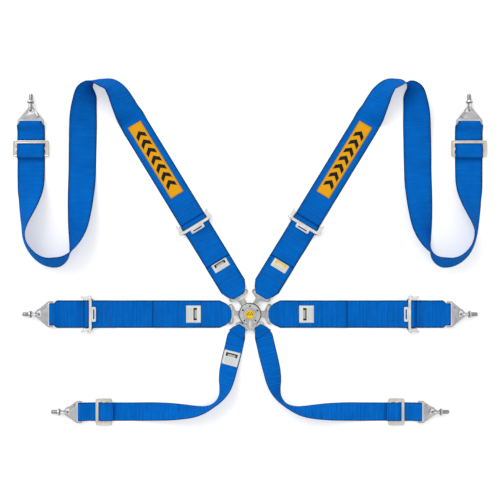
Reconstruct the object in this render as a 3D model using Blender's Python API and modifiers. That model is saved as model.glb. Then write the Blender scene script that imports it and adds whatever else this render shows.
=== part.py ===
"""Six-point racing harness, laid out flat on its back: buckle in the middle, six straps, each to an eyebolt.

Metres, +Z up. The origin is the middle of the buckle's back face. Each strap arm has a frame of its own:
u runs outwards along the strap, v to its left, z up. The right-hand arms mirror the left-hand ones.
"""

import math

import bmesh
import bpy
from mathutils import Matrix, Vector

# ---- driving dimensions -------------------------------------------------------------------------

GAP = 0.0003  # between pieces that touch on the real harness
PLATE = 0.003  # thickness of every pressed plate: tongues, slides, anchor plates

# webbing
WEB = 0.0014  # thickness
WIDE = 0.075  # shoulder and lap webbing
NARROW = 0.050  # leg webbing
LOOP_INSIDE = 0.0041  # inside radius of a webbing loop round a bar
BOW = 0.004  # how far webbing that stands on edge bellies out
STEP = 0.014  # how far a layer takes to drop on to the floor past the end of the one below

# where the arms lie
SHOULDER_POLAR = math.radians(121.4)
LAP_POLAR = math.radians(180)
LEG_POLAR = math.radians(236.5)
SHOULDER_ANCHOR = (-0.597, 0.527)  # outer end of the webbing at the shoulder anchor plate
LAP_REACH = 0.547  # the same at the lap, from the buckle's axis
LEG_ANCHOR = (-0.469, -0.266)  # the same at the leg

# buckle
BUCKLE_R = 0.031
BUCKLE_WALL = 0.003
BUCKLE_EDGE = 0.003  # its rounded top edge
SECTOR_R = 0.023  # inner end of the raised sectors between the tongues
CAVITY_HEIGHT = 0.0074
COVER_TOP = 0.0025
LUG_STEP = 0.001  # the lug's top below the cover's
LUG_REACH, LUG_ROOT_Y, LUG_ROOT, LUG_END = 0.0435, 0.023, 0.0195, 0.0088  # reaches and half widths
SPINDLE_R = 0.006
SPINDLE_CLEARANCE = 0.0004
HUB_R = 0.016
HUB_HEIGHT = 0.0065
LEVER_REACH, LEVER_HALF, LEVER_HEIGHT = 0.039, 0.0083, 0.0045
HUB_EDGE = 0.001
BADGE_R, BADGE_HEIGHT = 0.012, 0.0008
PIN_R, PIN_CIRCLE, PIN_HEAD_R, PIN_HEAD = 0.0024, 0.020, 0.0036, 0.0014
PIN_CLEARANCE = 0.0005
LIFT = 0.0036  # travel of the lift plate and its pins
LIFT_PLATE = 0.001
SPRING_R, SPRING_WIRE, SPRING_TURNS = 0.0095, 0.00045, 2

# tongues: reach of the webbing bar's axis, half widths of the blade and of the webbing at and inside the bar
BLADE_NOSE, NOSE_HALF, NOSE_SLOPE = 0.0135, 0.005, 0.0055
TONGUES = {
    "shoulder": {"bar": 0.0625, "blade": 0.009, "web_end": 0.021, "web_fold": 0.016},
    "lap": {"bar": 0.0555, "blade": 0.009, "web_end": 0.0205, "web_fold": 0.009},
    "leg": {"bar": 0.0435, "blade": 0.0075, "web_end": 0.0125, "web_fold": 0.0095},
}
BAR_HALF = 0.0035  # half the width of a flat webbing bar
SLOT = 0.0035  # width of the slot that a webbing loop comes through
SLOT_SIDE = 0.0015  # room beside the webbing in a slot
CHEEKS = {"shoulder": 0.006, "lap": 0.006, "leg": 0.0045}  # metal beside the webbing
WING_SWEEP, WING_WAIST = 0.009, 0.70  # how the wings spread from the blade, and their share of width half-way

# tilt-lock adjusters, with u from the back of the front bar
SHOULDER_ADJUSTER, LAP_ADJUSTER = 0.2815, 0.433
ADJ_FIXED_U, ADJ_FIXED_R = -0.001, 0.003
ADJ_LOCK_U, ADJ_LOCK_Z, ADJ_LOCK_R = 0.0115, 0.0092, 0.004
ADJ_LOCK_LOOP = 0.00435
ADJ_STUB_R, ADJ_STUB_OUT = 0.002, 0.0018
ADJ_TRAVEL = (0.001, 0.003)  # of the lock bar, towards the front bar and away from it
ADJ_SIDE_ROOM, ADJ_SIDE = 0.0013, 0.0025
ADJ_WALL = 0.002  # metal round the slots and the fixed bar
ADJ_BAR = (-0.0025, 0.004, 0.0028)  # front bar: from, to, height
ADJ_TAB = (0.014, 0.020)  # reach and half width of the pull tab
ADJ_TAB_SLOT = (0.0018, 0.0135)
ADJ_TAB_THICK = 0.002
ADJ_EAR = (0.028, 0.0085, 0.0025)  # reach, width and thickness of the ears
ADJ_TIP = 0.005  # width of an ear's tip

# three-bar slides
SLIDE_LENGTH, SLIDE_BAR, SLIDE_RIM = 0.044, 0.008, 0.0095
SLIDE_ROOM = 0.002
SLIDE_BACK = {"shoulder": 0.0755, "leg": 0.0703}  # middle of the slide to the anchor end of the webbing

# anchor plates, with u from the outer end of the webbing
PLATE_TIP, TIP_HALF, TIP_WALL = 0.040, 0.004, 0.006
BASE_TO = 0.002  # where the sides start to close in
PLATE_CORNER = 0.002
HOOK_HALF, HOOK_CORNER = 0.0065, 0.0015
MOUTH = (0.0235, 0.0315)
LUG_BACK, LUG_WIDTH = 0.012, 0.0045
ANCHOR_WEB = {"shoulder": 0.0295, "lap": 0.0295, "leg": 0.0242}  # half width of the webbing in the plate
NECK = (0.020, 0.0135)  # where the webbing starts and stops narrowing, back from its outer end
LATCH_PIVOT = (0.012, 0.0195)
LATCH_NOSE = (0.033, 0.0095)
LATCH_HALF, LATCH_THICK, LATCH_PIN_R, LATCH_BOSS_R = 0.003, 0.0015, 0.002, 0.0034
RIVET_HEAD = 0.001
RIVET_CLEARANCE = 0.0002

# eyebolts
EYE_RING, EYE_WIRE = 0.0095, 0.0035
COLLAR_R, COLLAR_FROM, COLLAR_TO = 0.0095, 0.012, 0.016
SHANK_R, SHANK_TO = 0.0055, 0.037

# tails of the webbing beyond its loops, and how far a layer takes to settle on the one below
TONGUE_TAIL = {"shoulder": 0.168, "lap": 0.264, "leg": 0.068}
LOCK_TAIL = {"shoulder": 0.060, "lap": 0.045}
FIXED_TAIL = 0.058
SETTLE = 0.026
TONGUE_TAPER = 0.027
WAIST_AT, WAIST_OUT = 0.3, 0.45  # shares of the taper's length and of its widening

# yellow patches on the shoulder straps
PATCH_FROM, PATCH_TO, PATCH_HALF, PATCH_THICK = 0.385, 0.611, 0.020, 0.0008
STRAIGHT_TO = 0.601  # where the shoulder strap starts to curl

BITE = 0.0005  # overlap of shapes that are joined into one piece

# route of the webbing between its straight ends: x, y, roll in degrees (positive lifts its left edge)
SHOULDER_ROUTE = [
    (-0.3216, 0.5285, 0),
    (-0.3345, 0.5530, 25),
    (-0.3465, 0.5785, 36),
    (-0.3590, 0.6025, 46),
    (-0.3765, 0.6215, 57),
    (-0.3980, 0.6275, 66),
    (-0.4180, 0.6300, 77),
    (-0.4330, 0.6230, 98),
    (-0.4430, 0.6020, 131),
    (-0.4490, 0.5720, 145),
    (-0.4530, 0.5400, 159),
    (-0.4550, 0.5000, 169),
    (-0.4565, 0.4480, 176),
    (-0.4585, 0.3660, 183),
    (-0.4605, 0.3250, 193),
    (-0.4630, 0.2840, 204),
    (-0.4665, 0.2430, 217),
    (-0.4730, 0.2090, 234),
    (-0.4830, 0.1800, 254),
    (-0.4985, 0.1555, 276),
    (-0.5215, 0.1425, 290),
    (-0.5460, 0.1415, 290),
    (-0.5700, 0.1510, 288),
    (-0.5905, 0.1695, 286),
    (-0.6050, 0.1940, 283),
    (-0.6110, 0.2220, 285),
    (-0.6090, 0.2520, 296),
    (-0.6040, 0.2830, 312),
    (-0.5995, 0.3120, 328),
    (-0.5975, 0.3400, 345),
    (-0.5970, 0.3750, 358),
]
LEG_ROUTE = [
    (-0.0355, -0.0560, 0),
    (-0.0405, -0.0740, 0),
    (-0.0460, -0.0980, 3),
    (-0.0587, -0.1496, 18),
    (-0.0640, -0.1780, 33),
    (-0.0690, -0.2030, 54),
    (-0.0790, -0.2260, 74),
    (-0.0970, -0.2450, 84),
    (-0.1210, -0.2570, 76),
    (-0.1480, -0.2625, 61),
    (-0.1760, -0.2640, 47),
    (-0.2100, -0.2645, 32),
    (-0.2600, -0.2650, 14),
    (-0.3100, -0.2660, 2),
]

COLOURS = {  # base colour, roughness, metallic
    "webbing": ((0.015, 0.130, 0.560, 1), 0.75, 0),
    "patch": ((0.745, 0.370, 0.008, 1), 0.60, 0),
    "cast_alloy": ((0.560, 0.560, 0.550, 1), 0.35, 1),
    "plated_steel": ((0.500, 0.490, 0.470, 1), 0.30, 1),
    "badge": ((0.900, 0.620, 0.020, 1), 0.40, 0),
    "spring_steel": ((0.250, 0.250, 0.260, 1), 0.35, 1),
}

# ---- heights and places that follow --------------------------------------------------------------

LOOP = LOOP_INSIDE + WEB / 2
FLAT = WEB / 2  # height of the middle of webbing lying on the floor
STACKED = FLAT + WEB + GAP  # and of webbing lying on webbing
BAR_Z = FLAT + LOOP
BASE_TOP = BAR_Z - PLATE / 2 - GAP
COVER_Z = BAR_Z + PLATE / 2 + 2 * GAP
CAVITY_TOP = COVER_Z + CAVITY_HEIGHT
COVER_END = CAVITY_TOP + COVER_TOP
LIFT_Z = COVER_Z + GAP
LUG_Z = BAR_Z + LOOP + WEB / 2 + 4 * GAP  # clear of the leg webbing that passes below
EYE_Z = EYE_RING + EYE_WIRE
EYE_ROOM = EYE_RING - EYE_WIRE - GAP
ANCHOR_Z = EYE_Z - math.sqrt(EYE_ROOM**2 - (TIP_WALL / 2) ** 2) + PLATE / 2
ANCHOR_BAR = -(LOOP + WEB / 2)
EYE_U = PLATE_TIP - TIP_WALL / 2
EYEBOLT_DROP = math.asin((EYE_Z - SHANK_R) / SHANK_TO)
LOCK_LOOP = ADJ_LOCK_LOOP + WEB / 2
FRONT_Z = BAR_Z + LOOP + WEB / 2 + 2 * GAP
SLIDE_Z = STACKED + WEB + GAP + PLATE / 2 + 2 * GAP
SLIDE_FOLD = PLATE / 2 + GAP + WEB / 2
ARMS = {"shoulder": SHOULDER_POLAR, "lap": LAP_POLAR, "leg": LEG_POLAR}
SIDES = {"left": 1, "right": -1}


# ---- scene ----------------------------------------------------------------------------------------


def clear_scene():
    for obj in list(bpy.data.objects):
        bpy.data.objects.remove(obj)


def new_collection(name):
    collection = bpy.data.collections.new(name)
    bpy.context.scene.collection.children.link(collection)
    return collection


def new_material(name):
    colour, roughness, metallic = COLOURS[name]
    material = bpy.data.materials.new(name)
    material.use_nodes = True
    shader = material.node_tree.nodes["Principled BSDF"]
    shader.inputs["Base Color"].default_value = colour
    shader.inputs["Roughness"].default_value = roughness
    shader.inputs["Metallic"].default_value = metallic
    return material


def add(name, data, home, material=None):
    obj = bpy.data.objects.new(name, data)
    home.objects.link(obj)
    if material:
        obj.data.materials.append(material)
    return obj


def new_empty(name, matrix, parent=None):
    empty = add(name, None, harness)
    empty.parent = parent
    empty.matrix_local = matrix
    empty.empty_display_size = 0.02
    return empty


def seat(obj, parent, pivot=(0, 0, 0), tilt=0.0):
    """Puts a piece in a frame, with its origin on its pivot and its nose turned down by tilt."""
    obj.parent = parent
    obj.location = pivot
    obj.rotation_euler = (0, tilt, 0)
    return obj


# ---- shapes -----------------------------------------------------------------------------------------


def outline(name, loops, thickness, home, material=None):
    """A flat plate: the first loop is its outside, the rest are holes. Its middle plane is z = 0."""
    curve = bpy.data.curves.new(name, "CURVE")
    curve.dimensions = "2D"
    curve.fill_mode = "BOTH"
    curve.extrude = thickness / 2
    for points in loops:
        spline = curve.splines.new("POLY")
        spline.points.add(len(points) - 1)
        for place, (x, y) in zip(spline.points, points):
            place.co = (x, y, 0, 1)
        spline.use_cyclic_u = True
    return add(name, curve, home, material)


def to_mesh(obj):
    """The curve object made a mesh object of the same name and place, with its caps welded on."""
    depsgraph = bpy.context.evaluated_depsgraph_get()
    mesh = bpy.data.meshes.new_from_object(obj.evaluated_get(depsgraph))
    bm = bmesh.new()
    bm.from_mesh(mesh)
    bmesh.ops.remove_doubles(bm, verts=bm.verts, dist=1e-6)
    bmesh.ops.recalc_face_normals(bm, faces=bm.faces)
    bm.to_mesh(mesh)
    bm.free()
    name, home, matrix = obj.name, obj.users_collection[0], obj.matrix_world.copy()
    bpy.data.objects.remove(obj)
    made = add(name, mesh, home)
    made.matrix_world = matrix
    return made


def circle(x, y, radius, steps=12):
    turns = [2 * math.pi * i / steps for i in range(steps)]
    return [(x + radius * math.cos(a), y + radius * math.sin(a)) for a in turns]


def box_loop(x0, x1, y0, y1):
    return [(x0, y0), (x1, y0), (x1, y1), (x0, y1)]


def rounded(points, radius, steps=3):
    """The polygon with each corner cut to an arc of this radius, less where its sides are short."""
    out = []
    for i, here in enumerate(points):
        corner = Vector(here)
        before = Vector(points[i - 1]) - corner
        after = Vector(points[(i + 1) % len(points)]) - corner
        half = before.angle(after) / 2
        back = min(radius / math.tan(half), 0.45 * before.length, 0.45 * after.length)
        start = corner + before.normalized() * back
        end = corner + after.normalized() * back
        for step in range(steps + 1):
            t = step / steps
            point = start.lerp(corner, t).lerp(corner.lerp(end, t), t)
            out.append((point.x, point.y))
    return out


def cylinder(name, radius, start, end, home, segments=20):
    """A cylinder between two points."""
    start, end = Vector(start), Vector(end)
    mesh = bpy.data.meshes.new(name)
    bm = bmesh.new()
    turn = (end - start).to_track_quat("Z", "Y").to_matrix().to_4x4()
    bmesh.ops.create_cone(
        bm,
        cap_ends=True,
        segments=segments,
        radius1=radius,
        radius2=radius,
        depth=(end - start).length,
        matrix=Matrix.Translation((start + end) / 2) @ turn,
    )
    bm.to_mesh(mesh)
    bm.free()
    return add(name, mesh, home)


def block(name, low, high, home):
    low, high = Vector(low), Vector(high)
    mesh = bpy.data.meshes.new(name)
    bm = bmesh.new()
    scale = Matrix.Diagonal((*(high - low), 1))
    bmesh.ops.create_cube(bm, size=1, matrix=Matrix.Translation((low + high) / 2) @ scale)
    bm.to_mesh(mesh)
    bm.free()
    return add(name, mesh, home)


def turned(name, profile, home, material=None, segments=24):
    """A profile of (radius, height) points from the axis round to the axis, spun about Z."""
    mesh = bpy.data.meshes.new(name)
    edges = [(i, i + 1) for i in range(len(profile) - 1)]
    closed = profile[0][0] > 0
    if closed:
        edges.append((len(profile) - 1, 0))
    mesh.from_pydata([(r, 0, z) for r, z in profile], edges, [])
    obj = add(name, mesh, home, material)
    screw = obj.modifiers.new("Screw", "SCREW")
    screw.steps = screw.render_steps = segments
    screw.use_merge_vertices = True
    screw.merge_threshold = 1e-5
    return obj


def combine(target, others, operation):
    for other in others:
        boolean = target.modifiers.new(operation.title(), "BOOLEAN")
        boolean.operation = operation
        boolean.object = other
        boolean.solver = "EXACT"
        other.hide_render = True
        other.display_type = "WIRE"
    return target


def baked(obj, material):
    """The object with its modifiers applied, and the helpers that they used removed."""
    used = [m.object for m in obj.modifiers if m.type == "BOOLEAN"]
    depsgraph = bpy.context.evaluated_depsgraph_get()
    mesh = bpy.data.meshes.new_from_object(obj.evaluated_get(depsgraph))
    name, matrix = obj.name, obj.matrix_world.copy()
    for other in [obj, *used]:
        bpy.data.objects.remove(other)
    mesh.materials.clear()
    made = add(name, mesh, harness, material)
    made.matrix_world = matrix
    mesh.shade_smooth()
    mesh.set_sharp_from_angle(angle=math.radians(35))
    return made


# ---- webbing ----------------------------------------------------------------------------------------


def arc(u, z, radius, start, end, steps=8):
    """Points of a side profile on an arc, angles in degrees from +u towards +z."""
    turns = [math.radians(start + (end - start) * i / steps) for i in range(steps + 1)]
    return [(u + radius * math.cos(a), z + radius * math.sin(a)) for a in turns]


def ease(start, end, steps=4):
    """Points of an S-shaped step between two levels, without its ends."""
    out = []
    for i in range(1, steps):
        t = i / steps
        level = t * t * (3 - 2 * t)
        out.append((start[0] + (end[0] - start[0]) * t, start[1] + (end[1] - start[1]) * level))
    return out


def in_frame(frame, profile, half_at):
    """Stations of webbing whose side profile is a list of (u, z): middle, way across, half width, bow."""
    across = frame.to_3x3() @ Vector((0, 1, 0))
    return [(frame @ Vector((u, 0, z)), across, half_at(u), 0.0) for u, z in profile]


def spline_through(route, spacing):
    """Points of a Catmull-Rom curve through the route, ends left out."""
    out = []
    for i in range(1, len(route) - 2):
        p0, p1, p2, p3 = (Vector(route[j]) for j in range(i - 1, i + 3))
        steps = max(1, round((p2 - p1).xy.length / spacing))
        for step in range(steps):
            t = step / steps
            out.append(
                0.5
                * (
                    2 * p1
                    + (p2 - p0) * t
                    + (2 * p0 - 5 * p1 + 4 * p2 - p3) * t**2
                    + (3 * p1 - p0 - 3 * p2 + p3) * t**3
                )
            )
    return out


def along_route(route, before, after, half, spacing=0.024):
    """Stations along a route on the floor, which rolls on to its edge and back."""
    knots = [(*before, route[0][2]), *route, (*after, route[-1][2])]
    points = spline_through(knots, spacing)
    stations = []
    for i, point in enumerate(points):
        ahead = points[min(i + 1, len(points) - 1)] - points[max(i - 1, 0)]
        heading = math.atan2(ahead.y, ahead.x)
        roll = math.radians(point.z)
        left = Vector((-math.sin(heading), math.cos(heading), 0))
        across = left * math.cos(roll) + Vector((0, 0, 1)) * math.sin(roll)
        stand = abs(math.sin(roll))
        height = half * stand + FLAT
        stations.append((Vector((point.x, point.y, height)), across, half, BOW * stand**2))
    return stations


def webbing(name, stations, side, frame, parent, pivot):
    """The strip through these stations, given for the left-hand side, as one solid."""
    place = (frame @ Matrix.Translation(pivot)).inverted()
    mesh = bpy.data.meshes.new(name)
    bm = bmesh.new()
    rows = []
    for i, (middle, across, half, bow) in enumerate(stations):
        ahead = stations[min(i + 1, len(stations) - 1)][0] - stations[max(i - 1, 0)][0]
        out = ahead.cross(across).normalized()
        row = [middle + across * half, middle + out * bow, middle - across * half]
        rows.append([bm.verts.new(place @ Vector((side * p.x, p.y, p.z))) for p in row])
    for near, far in zip(rows, rows[1:]):
        for a in range(2):
            face = [near[a], far[a], far[a + 1], near[a + 1]]
            bm.faces.new(face if side > 0 else face[::-1])
    bm.to_mesh(mesh)
    bm.free()
    obj = add(name, mesh, harness, materials["webbing"])
    solidify = obj.modifiers.new("Solidify", "SOLIDIFY")
    solidify.thickness = WEB
    solidify.offset = 0
    solidify.use_even_offset = True
    return seat(obj, parent, pivot)


def taper(places):
    """Half width of webbing that changes between places along u, given as (u, half width)."""

    def half_at(u):
        if u <= places[0][0]:
            return places[0][1]
        for (u0, half0), (u1, half1) in zip(places, places[1:]):
            if u <= u1:
                return half0 + (half1 - half0) * (u - u0) / (u1 - u0)
        return places[-1][1]

    return half_at


def tongue_loop(arm):
    """Side profile from the tail on top, round the tongue's bar, to the layer on the floor."""
    bar = TONGUES[arm]["bar"]
    settled = (min(bar + SETTLE, TONGUE_TAIL[arm] - STEP / 4), STACKED)
    top = (bar, BAR_Z + LOOP)
    return [
        (TONGUE_TAIL[arm], STACKED),
        settled,
        *ease(settled, top),
        *arc(bar, BAR_Z, LOOP, 90, 270),
    ]


def tongue_taper(arm, half):
    size = TONGUES[arm]
    bar, end = size["bar"], size["web_end"]
    waist = (bar + TONGUE_TAPER * WAIST_AT, end + (half - end) * WAIST_OUT)
    return taper([(bar - LOOP, size["web_fold"]), (bar, end), waist, (bar + TONGUE_TAPER, half)])


def lower_strap(arm, adjuster):
    """Stations from the tongue to the adjuster's fixed bar."""
    bar = adjuster + ADJ_FIXED_U
    stacked = (bar - FIXED_TAIL - STEP / 7, STACKED)
    rise = (stacked[0] - STEP, FLAT)
    leave = (bar - SETTLE, STACKED)
    tongue_bar = TONGUES[arm]["bar"]
    profile = [
        *tongue_loop(arm),
        (tongue_bar + TONGUE_TAPER * WAIST_AT, FLAT),
        (tongue_bar + TONGUE_TAPER, FLAT),
        (rise[0] - 3 * STEP, FLAT),
        rise,
        stacked,
        leave,
        *ease(leave, (bar, BAR_Z + LOOP)),
        *arc(bar, BAR_Z, LOOP, 90, -90),
        (bar - FIXED_TAIL, FLAT),
    ]
    return in_frame(arm_frames[arm], profile, tongue_taper(arm, WIDE / 2))


def lock_loop(adjuster, tail):
    """Side profile from a tail underneath, round the adjuster's lock bar, to the top layer."""
    bar = adjuster + ADJ_LOCK_U
    settled = (bar + SETTLE, FLAT)
    top = (bar + SETTLE, STACKED)
    return [
        (bar + tail, FLAT),
        settled,
        *ease(settled, (bar, ADJ_LOCK_Z - LOCK_LOOP)),
        *arc(bar, ADJ_LOCK_Z, LOCK_LOOP, 270, 90),
        *ease((bar, ADJ_LOCK_Z + LOCK_LOOP), top),
        top,
    ]


def anchor_taper(arm, half):
    return taper([(-NECK[0], half), (-NECK[1], ANCHOR_WEB[arm])])


def slide_end(arm, half, arrive):
    """Stations in the anchor's frame: under the slide, round the plate's bar, back and through the slide."""
    u = -SLIDE_BACK[arm]
    inner = SLIDE_LENGTH / 2 - SLIDE_BAR
    over = SLIDE_Z + PLATE / 2 + GAP + WEB / 2
    under = SLIDE_Z - PLATE / 2 - GAP - WEB / 2
    fold = u - SLIDE_LENGTH / 2 - GAP
    low = (ANCHOR_BAR - SETTLE, FLAT)
    high = (ANCHOR_BAR - SETTLE, STACKED)
    profile = [
        (arrive, FLAT),
        low,
        *ease(low, (ANCHOR_BAR, ANCHOR_Z - LOOP)),
        *arc(ANCHOR_BAR, ANCHOR_Z, LOOP, -90, 90),
        *ease((ANCHOR_BAR, ANCHOR_Z + LOOP), high),
        high,
        (u + inner + SLIDE_BAR, under),
        (u + inner, under),
        *ease((u + inner, under), (u + SLIDE_BAR / 2, over), 3),
        (u + SLIDE_BAR / 2, over),
        (u - inner, over),
        *arc(fold, SLIDE_Z, SLIDE_FOLD, 90, 270, 6),
        (u - SLIDE_BAR / 2, SLIDE_Z - SLIDE_FOLD),
    ]
    return in_frame(anchor_frames[arm], profile, anchor_taper(arm, half))


def upper_shoulder_strap():
    bar = SHOULDER_ADJUSTER + ADJ_LOCK_U
    tail = LOCK_TAIL["shoulder"]
    stacked = bar + tail + STEP / 7
    profile = [
        *lock_loop(SHOULDER_ADJUSTER, tail),
        (stacked, STACKED),
        (stacked + STEP, FLAT),
        (STRAIGHT_TO, FLAT),
    ]
    frame = arm_frames["shoulder"]
    start = in_frame(frame, profile, lambda u: WIDE / 2)
    before = (frame @ Vector((STRAIGHT_TO, 0, 0))).xy
    arrive = -SLIDE_BACK["shoulder"] - SLIDE_LENGTH
    after = (anchor_frames["shoulder"] @ Vector((arrive, 0, 0))).xy
    return [
        *start,
        *along_route(SHOULDER_ROUTE, before, after, WIDE / 2),
        *slide_end("shoulder", WIDE / 2, arrive),
    ]


def outer_lap_strap():
    frame = arm_frames["lap"]
    bar = LAP_REACH + ANCHOR_BAR
    high = (bar - SETTLE, STACKED)
    low = (bar - SETTLE, FLAT)
    tail = LAP_ADJUSTER + ADJ_LOCK_U + LOCK_TAIL["lap"] + STEP / 2
    profile = [
        *lock_loop(LAP_ADJUSTER, LOCK_TAIL["lap"]),
        high,
        *ease(high, (bar, ANCHOR_Z + LOOP)),
        *arc(bar, ANCHOR_Z, LOOP, 90, -90),
        *ease((bar, ANCHOR_Z - LOOP), low),
        low,
        (tail, FLAT),
    ]
    narrow = anchor_taper("lap", WIDE / 2)
    return in_frame(frame, profile, lambda u: narrow(u - LAP_REACH))


def leg_strap():
    frame = arm_frames["leg"]
    start = in_frame(frame, tongue_loop("leg"), tongue_taper("leg", NARROW / 2))
    reach = TONGUES["leg"]["bar"] + STEP / 4
    arrive = -SLIDE_BACK["leg"] - SLIDE_LENGTH
    after = (anchor_frames["leg"] @ Vector((arrive, 0, 0))).xy
    route = along_route(LEG_ROUTE, (frame @ Vector((reach, 0, 0))).xy, after, NARROW / 2)
    half_at = tongue_taper("leg", NARROW / 2)
    narrowed = [(p, across, min(half, half_at(p.xy.length)), bow) for p, across, half, bow in route]
    return [*start, *narrowed, *slide_end("leg", NARROW / 2, arrive)]


# ---- buckle -----------------------------------------------------------------------------------------


def buckle_base():
    """Back plate, and the raised sectors that part the tongues and carry the cover."""
    plate = turned("buckle_base", [(0, 0), (BUCKLE_R, 0), (BUCKLE_R, BASE_TOP), (0, BASE_TOP)], harness)
    joined = []
    polars = sorted(frame.to_euler().z % (2 * math.pi) for frame in tongue_frames.values())
    for i, polar in enumerate(polars):
        following = polars[(i + 1) % len(polars)] + (2 * math.pi if i == len(polars) - 1 else 0)
        joined.append(sector(polar, following))
    return baked(combine(plate, joined, "UNION"), materials["cast_alloy"])


def sector(start, end):
    """One raised sector, its sides parallel to the blades of the tongues on either side."""
    blade = max(size["blade"] for size in TONGUES.values()) + 2 * GAP
    inner, outer = SECTOR_R, BUCKLE_R - BITE
    from_inner = start + math.asin(blade / inner)
    to_inner = end - math.asin(blade / inner)
    from_outer = start + math.asin(blade / outer)
    to_outer = end - math.asin(blade / outer)
    steps = 5
    rim = [from_outer + (to_outer - from_outer) * i / steps for i in range(steps + 1)]
    points = [(outer * math.cos(a), outer * math.sin(a)) for a in rim]
    points += [(inner * math.cos(a), inner * math.sin(a)) for a in (to_inner, from_inner)]
    height = COVER_Z - GAP - BASE_TOP + BITE
    return lift_to(to_mesh(outline("sector", [points], height, helpers)), COVER_Z - GAP - height / 2)


def lift_to(obj, z):
    obj.location.z = z
    bpy.context.view_layer.update()
    return obj


def buckle_cover():
    profile = [
        (SPINDLE_R + SPINDLE_CLEARANCE, COVER_END),
        (SPINDLE_R + SPINDLE_CLEARANCE, CAVITY_TOP),
        (BUCKLE_R - BUCKLE_WALL, CAVITY_TOP),
        (BUCKLE_R - BUCKLE_WALL, COVER_Z),
        (BUCKLE_R, COVER_Z),
        (BUCKLE_R, COVER_END - BUCKLE_EDGE),
        (BUCKLE_R - BUCKLE_EDGE / 3, COVER_END - BUCKLE_EDGE / 3),
        (BUCKLE_R - BUCKLE_EDGE, COVER_END),
    ]
    cover = smoothed(turned("buckle_cover", profile, harness, segments=32))
    lug = [
        (-LUG_ROOT, -LUG_ROOT_Y),
        (-LUG_END, -LUG_REACH),
        (LUG_END, -LUG_REACH),
        (LUG_ROOT, -LUG_ROOT_Y),
    ]
    thick = COVER_END - LUG_STEP - LUG_Z
    flat = outline("lug", [rounded(lug, BUCKLE_EDGE)], thick, helpers)
    nose = lift_to(to_mesh(flat), LUG_Z + thick / 2)
    inside = cylinder("inside", BUCKLE_R - BUCKLE_WALL / 2, (0, 0, 0), (0, 0, COVER_END), helpers, 32)
    combine(nose, [inside], "DIFFERENCE")
    nose = baked(nose, materials["cast_alloy"])
    return baked(combine(cover, [nose], "UNION"), materials["cast_alloy"])


def smoothed(obj):
    """The object with its modifiers made mesh and its normals facing out."""
    depsgraph = bpy.context.evaluated_depsgraph_get()
    mesh = bpy.data.meshes.new_from_object(obj.evaluated_get(depsgraph))
    obj.modifiers.clear()
    bm = bmesh.new()
    bm.from_mesh(mesh)
    bmesh.ops.remove_doubles(bm, verts=bm.verts, dist=1e-6)
    bmesh.ops.recalc_face_normals(bm, faces=bm.faces)
    bm.to_mesh(mesh)
    bm.free()
    obj.data = mesh
    mesh.shade_smooth()
    mesh.set_sharp_from_angle(angle=math.radians(35))
    return obj


def release_rotor():
    """Hub and spindle with the lever that turns it; the lever points to the lug."""
    hub_z = COVER_END + GAP
    spindle_z = LIFT_Z + GAP
    profile = [
        (0, spindle_z),
        (SPINDLE_R, spindle_z),
        (SPINDLE_R, hub_z),
        (HUB_R, hub_z),
        (HUB_R, hub_z + HUB_HEIGHT - HUB_EDGE),
        (HUB_R - HUB_EDGE, hub_z + HUB_HEIGHT),
        (0, hub_z + HUB_HEIGHT),
    ]
    hub = smoothed(turned("release_rotor", profile, harness))
    lever = [
        (-LEVER_HALF, -HUB_R / 2),
        (-LEVER_HALF, -LEVER_REACH),
        (LEVER_HALF, -LEVER_REACH),
        (LEVER_HALF, -HUB_R / 2),
    ]
    arm = to_mesh(outline("lever", [rounded(lever, LEVER_HALF / 2)], LEVER_HEIGHT, helpers))
    lift_to(arm, hub_z + GAP + LEVER_HEIGHT / 2)
    return baked(combine(hub, [arm], "UNION"), materials["cast_alloy"])


def rotor_badge():
    low = COVER_END + GAP + HUB_HEIGHT + GAP
    high = low + BADGE_HEIGHT
    profile = [(0, low), (BADGE_R, low), (BADGE_R, high), (0, high)]
    return smoothed(turned("rotor_badge", profile, harness, materials["badge"]))


def lift_plate():
    """The plate under the heads of the lock pins, which the rotor raises to free the tongues."""
    holes = [circle(0, 0, SPINDLE_R + 2 * SPINDLE_CLEARANCE)]
    for frame in tongue_frames.values():
        middle = frame @ Vector((PIN_CIRCLE, 0, 0))
        holes.append(circle(middle.x, middle.y, PIN_R + GAP, 8))
    rim = circle(0, 0, BUCKLE_R - BUCKLE_WALL - 5 * GAP, 20)
    plate = outline("lift_plate", [rim, *holes], LIFT_PLATE, harness, materials["plated_steel"])
    plate.location.z = LIFT_Z + LIFT_PLATE / 2
    return plate


def lock_pins():
    head = LIFT_Z + LIFT_PLATE + GAP
    foot = BASE_TOP + GAP
    profile = [(0, foot), (PIN_R, foot), (PIN_R, head), (PIN_HEAD_R, head)]
    profile += [(PIN_HEAD_R, head + PIN_HEAD), (0, head + PIN_HEAD)]
    first = None
    for number, frame in enumerate(tongue_frames.values(), 1):
        name = f"lock_pin_{number}"
        if first is None:
            first = smoothed(turned(name, profile, harness, materials["plated_steel"], 8))
            pin = first
        else:
            pin = add(name, first.data, harness)
        pin.location = frame @ Vector((PIN_CIRCLE, 0, 0))


def rotor_spring():
    """Two turns of wire round the spindle, between the raised lift plate and the cover."""
    low = LIFT_Z + LIFT_PLATE + LIFT + SPRING_WIRE + 2 * GAP
    rise = CAVITY_TOP - 3 * SPRING_WIRE - low
    steps = 10 * SPRING_TURNS
    curve = bpy.data.curves.new("rotor_spring", "CURVE")
    curve.dimensions = "3D"
    curve.bevel_depth = SPRING_WIRE
    curve.bevel_resolution = 1
    curve.use_fill_caps = True
    spline = curve.splines.new("POLY")
    spline.points.add(steps)
    for i, point in enumerate(spline.points):
        turn = 2 * math.pi * SPRING_TURNS * i / steps
        height = low + rise * i / steps
        point.co = (SPRING_R * math.cos(turn), SPRING_R * math.sin(turn), height, 1)
    return add("rotor_spring", curve, harness, materials["spring_steel"])


# ---- fittings ---------------------------------------------------------------------------------------


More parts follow.
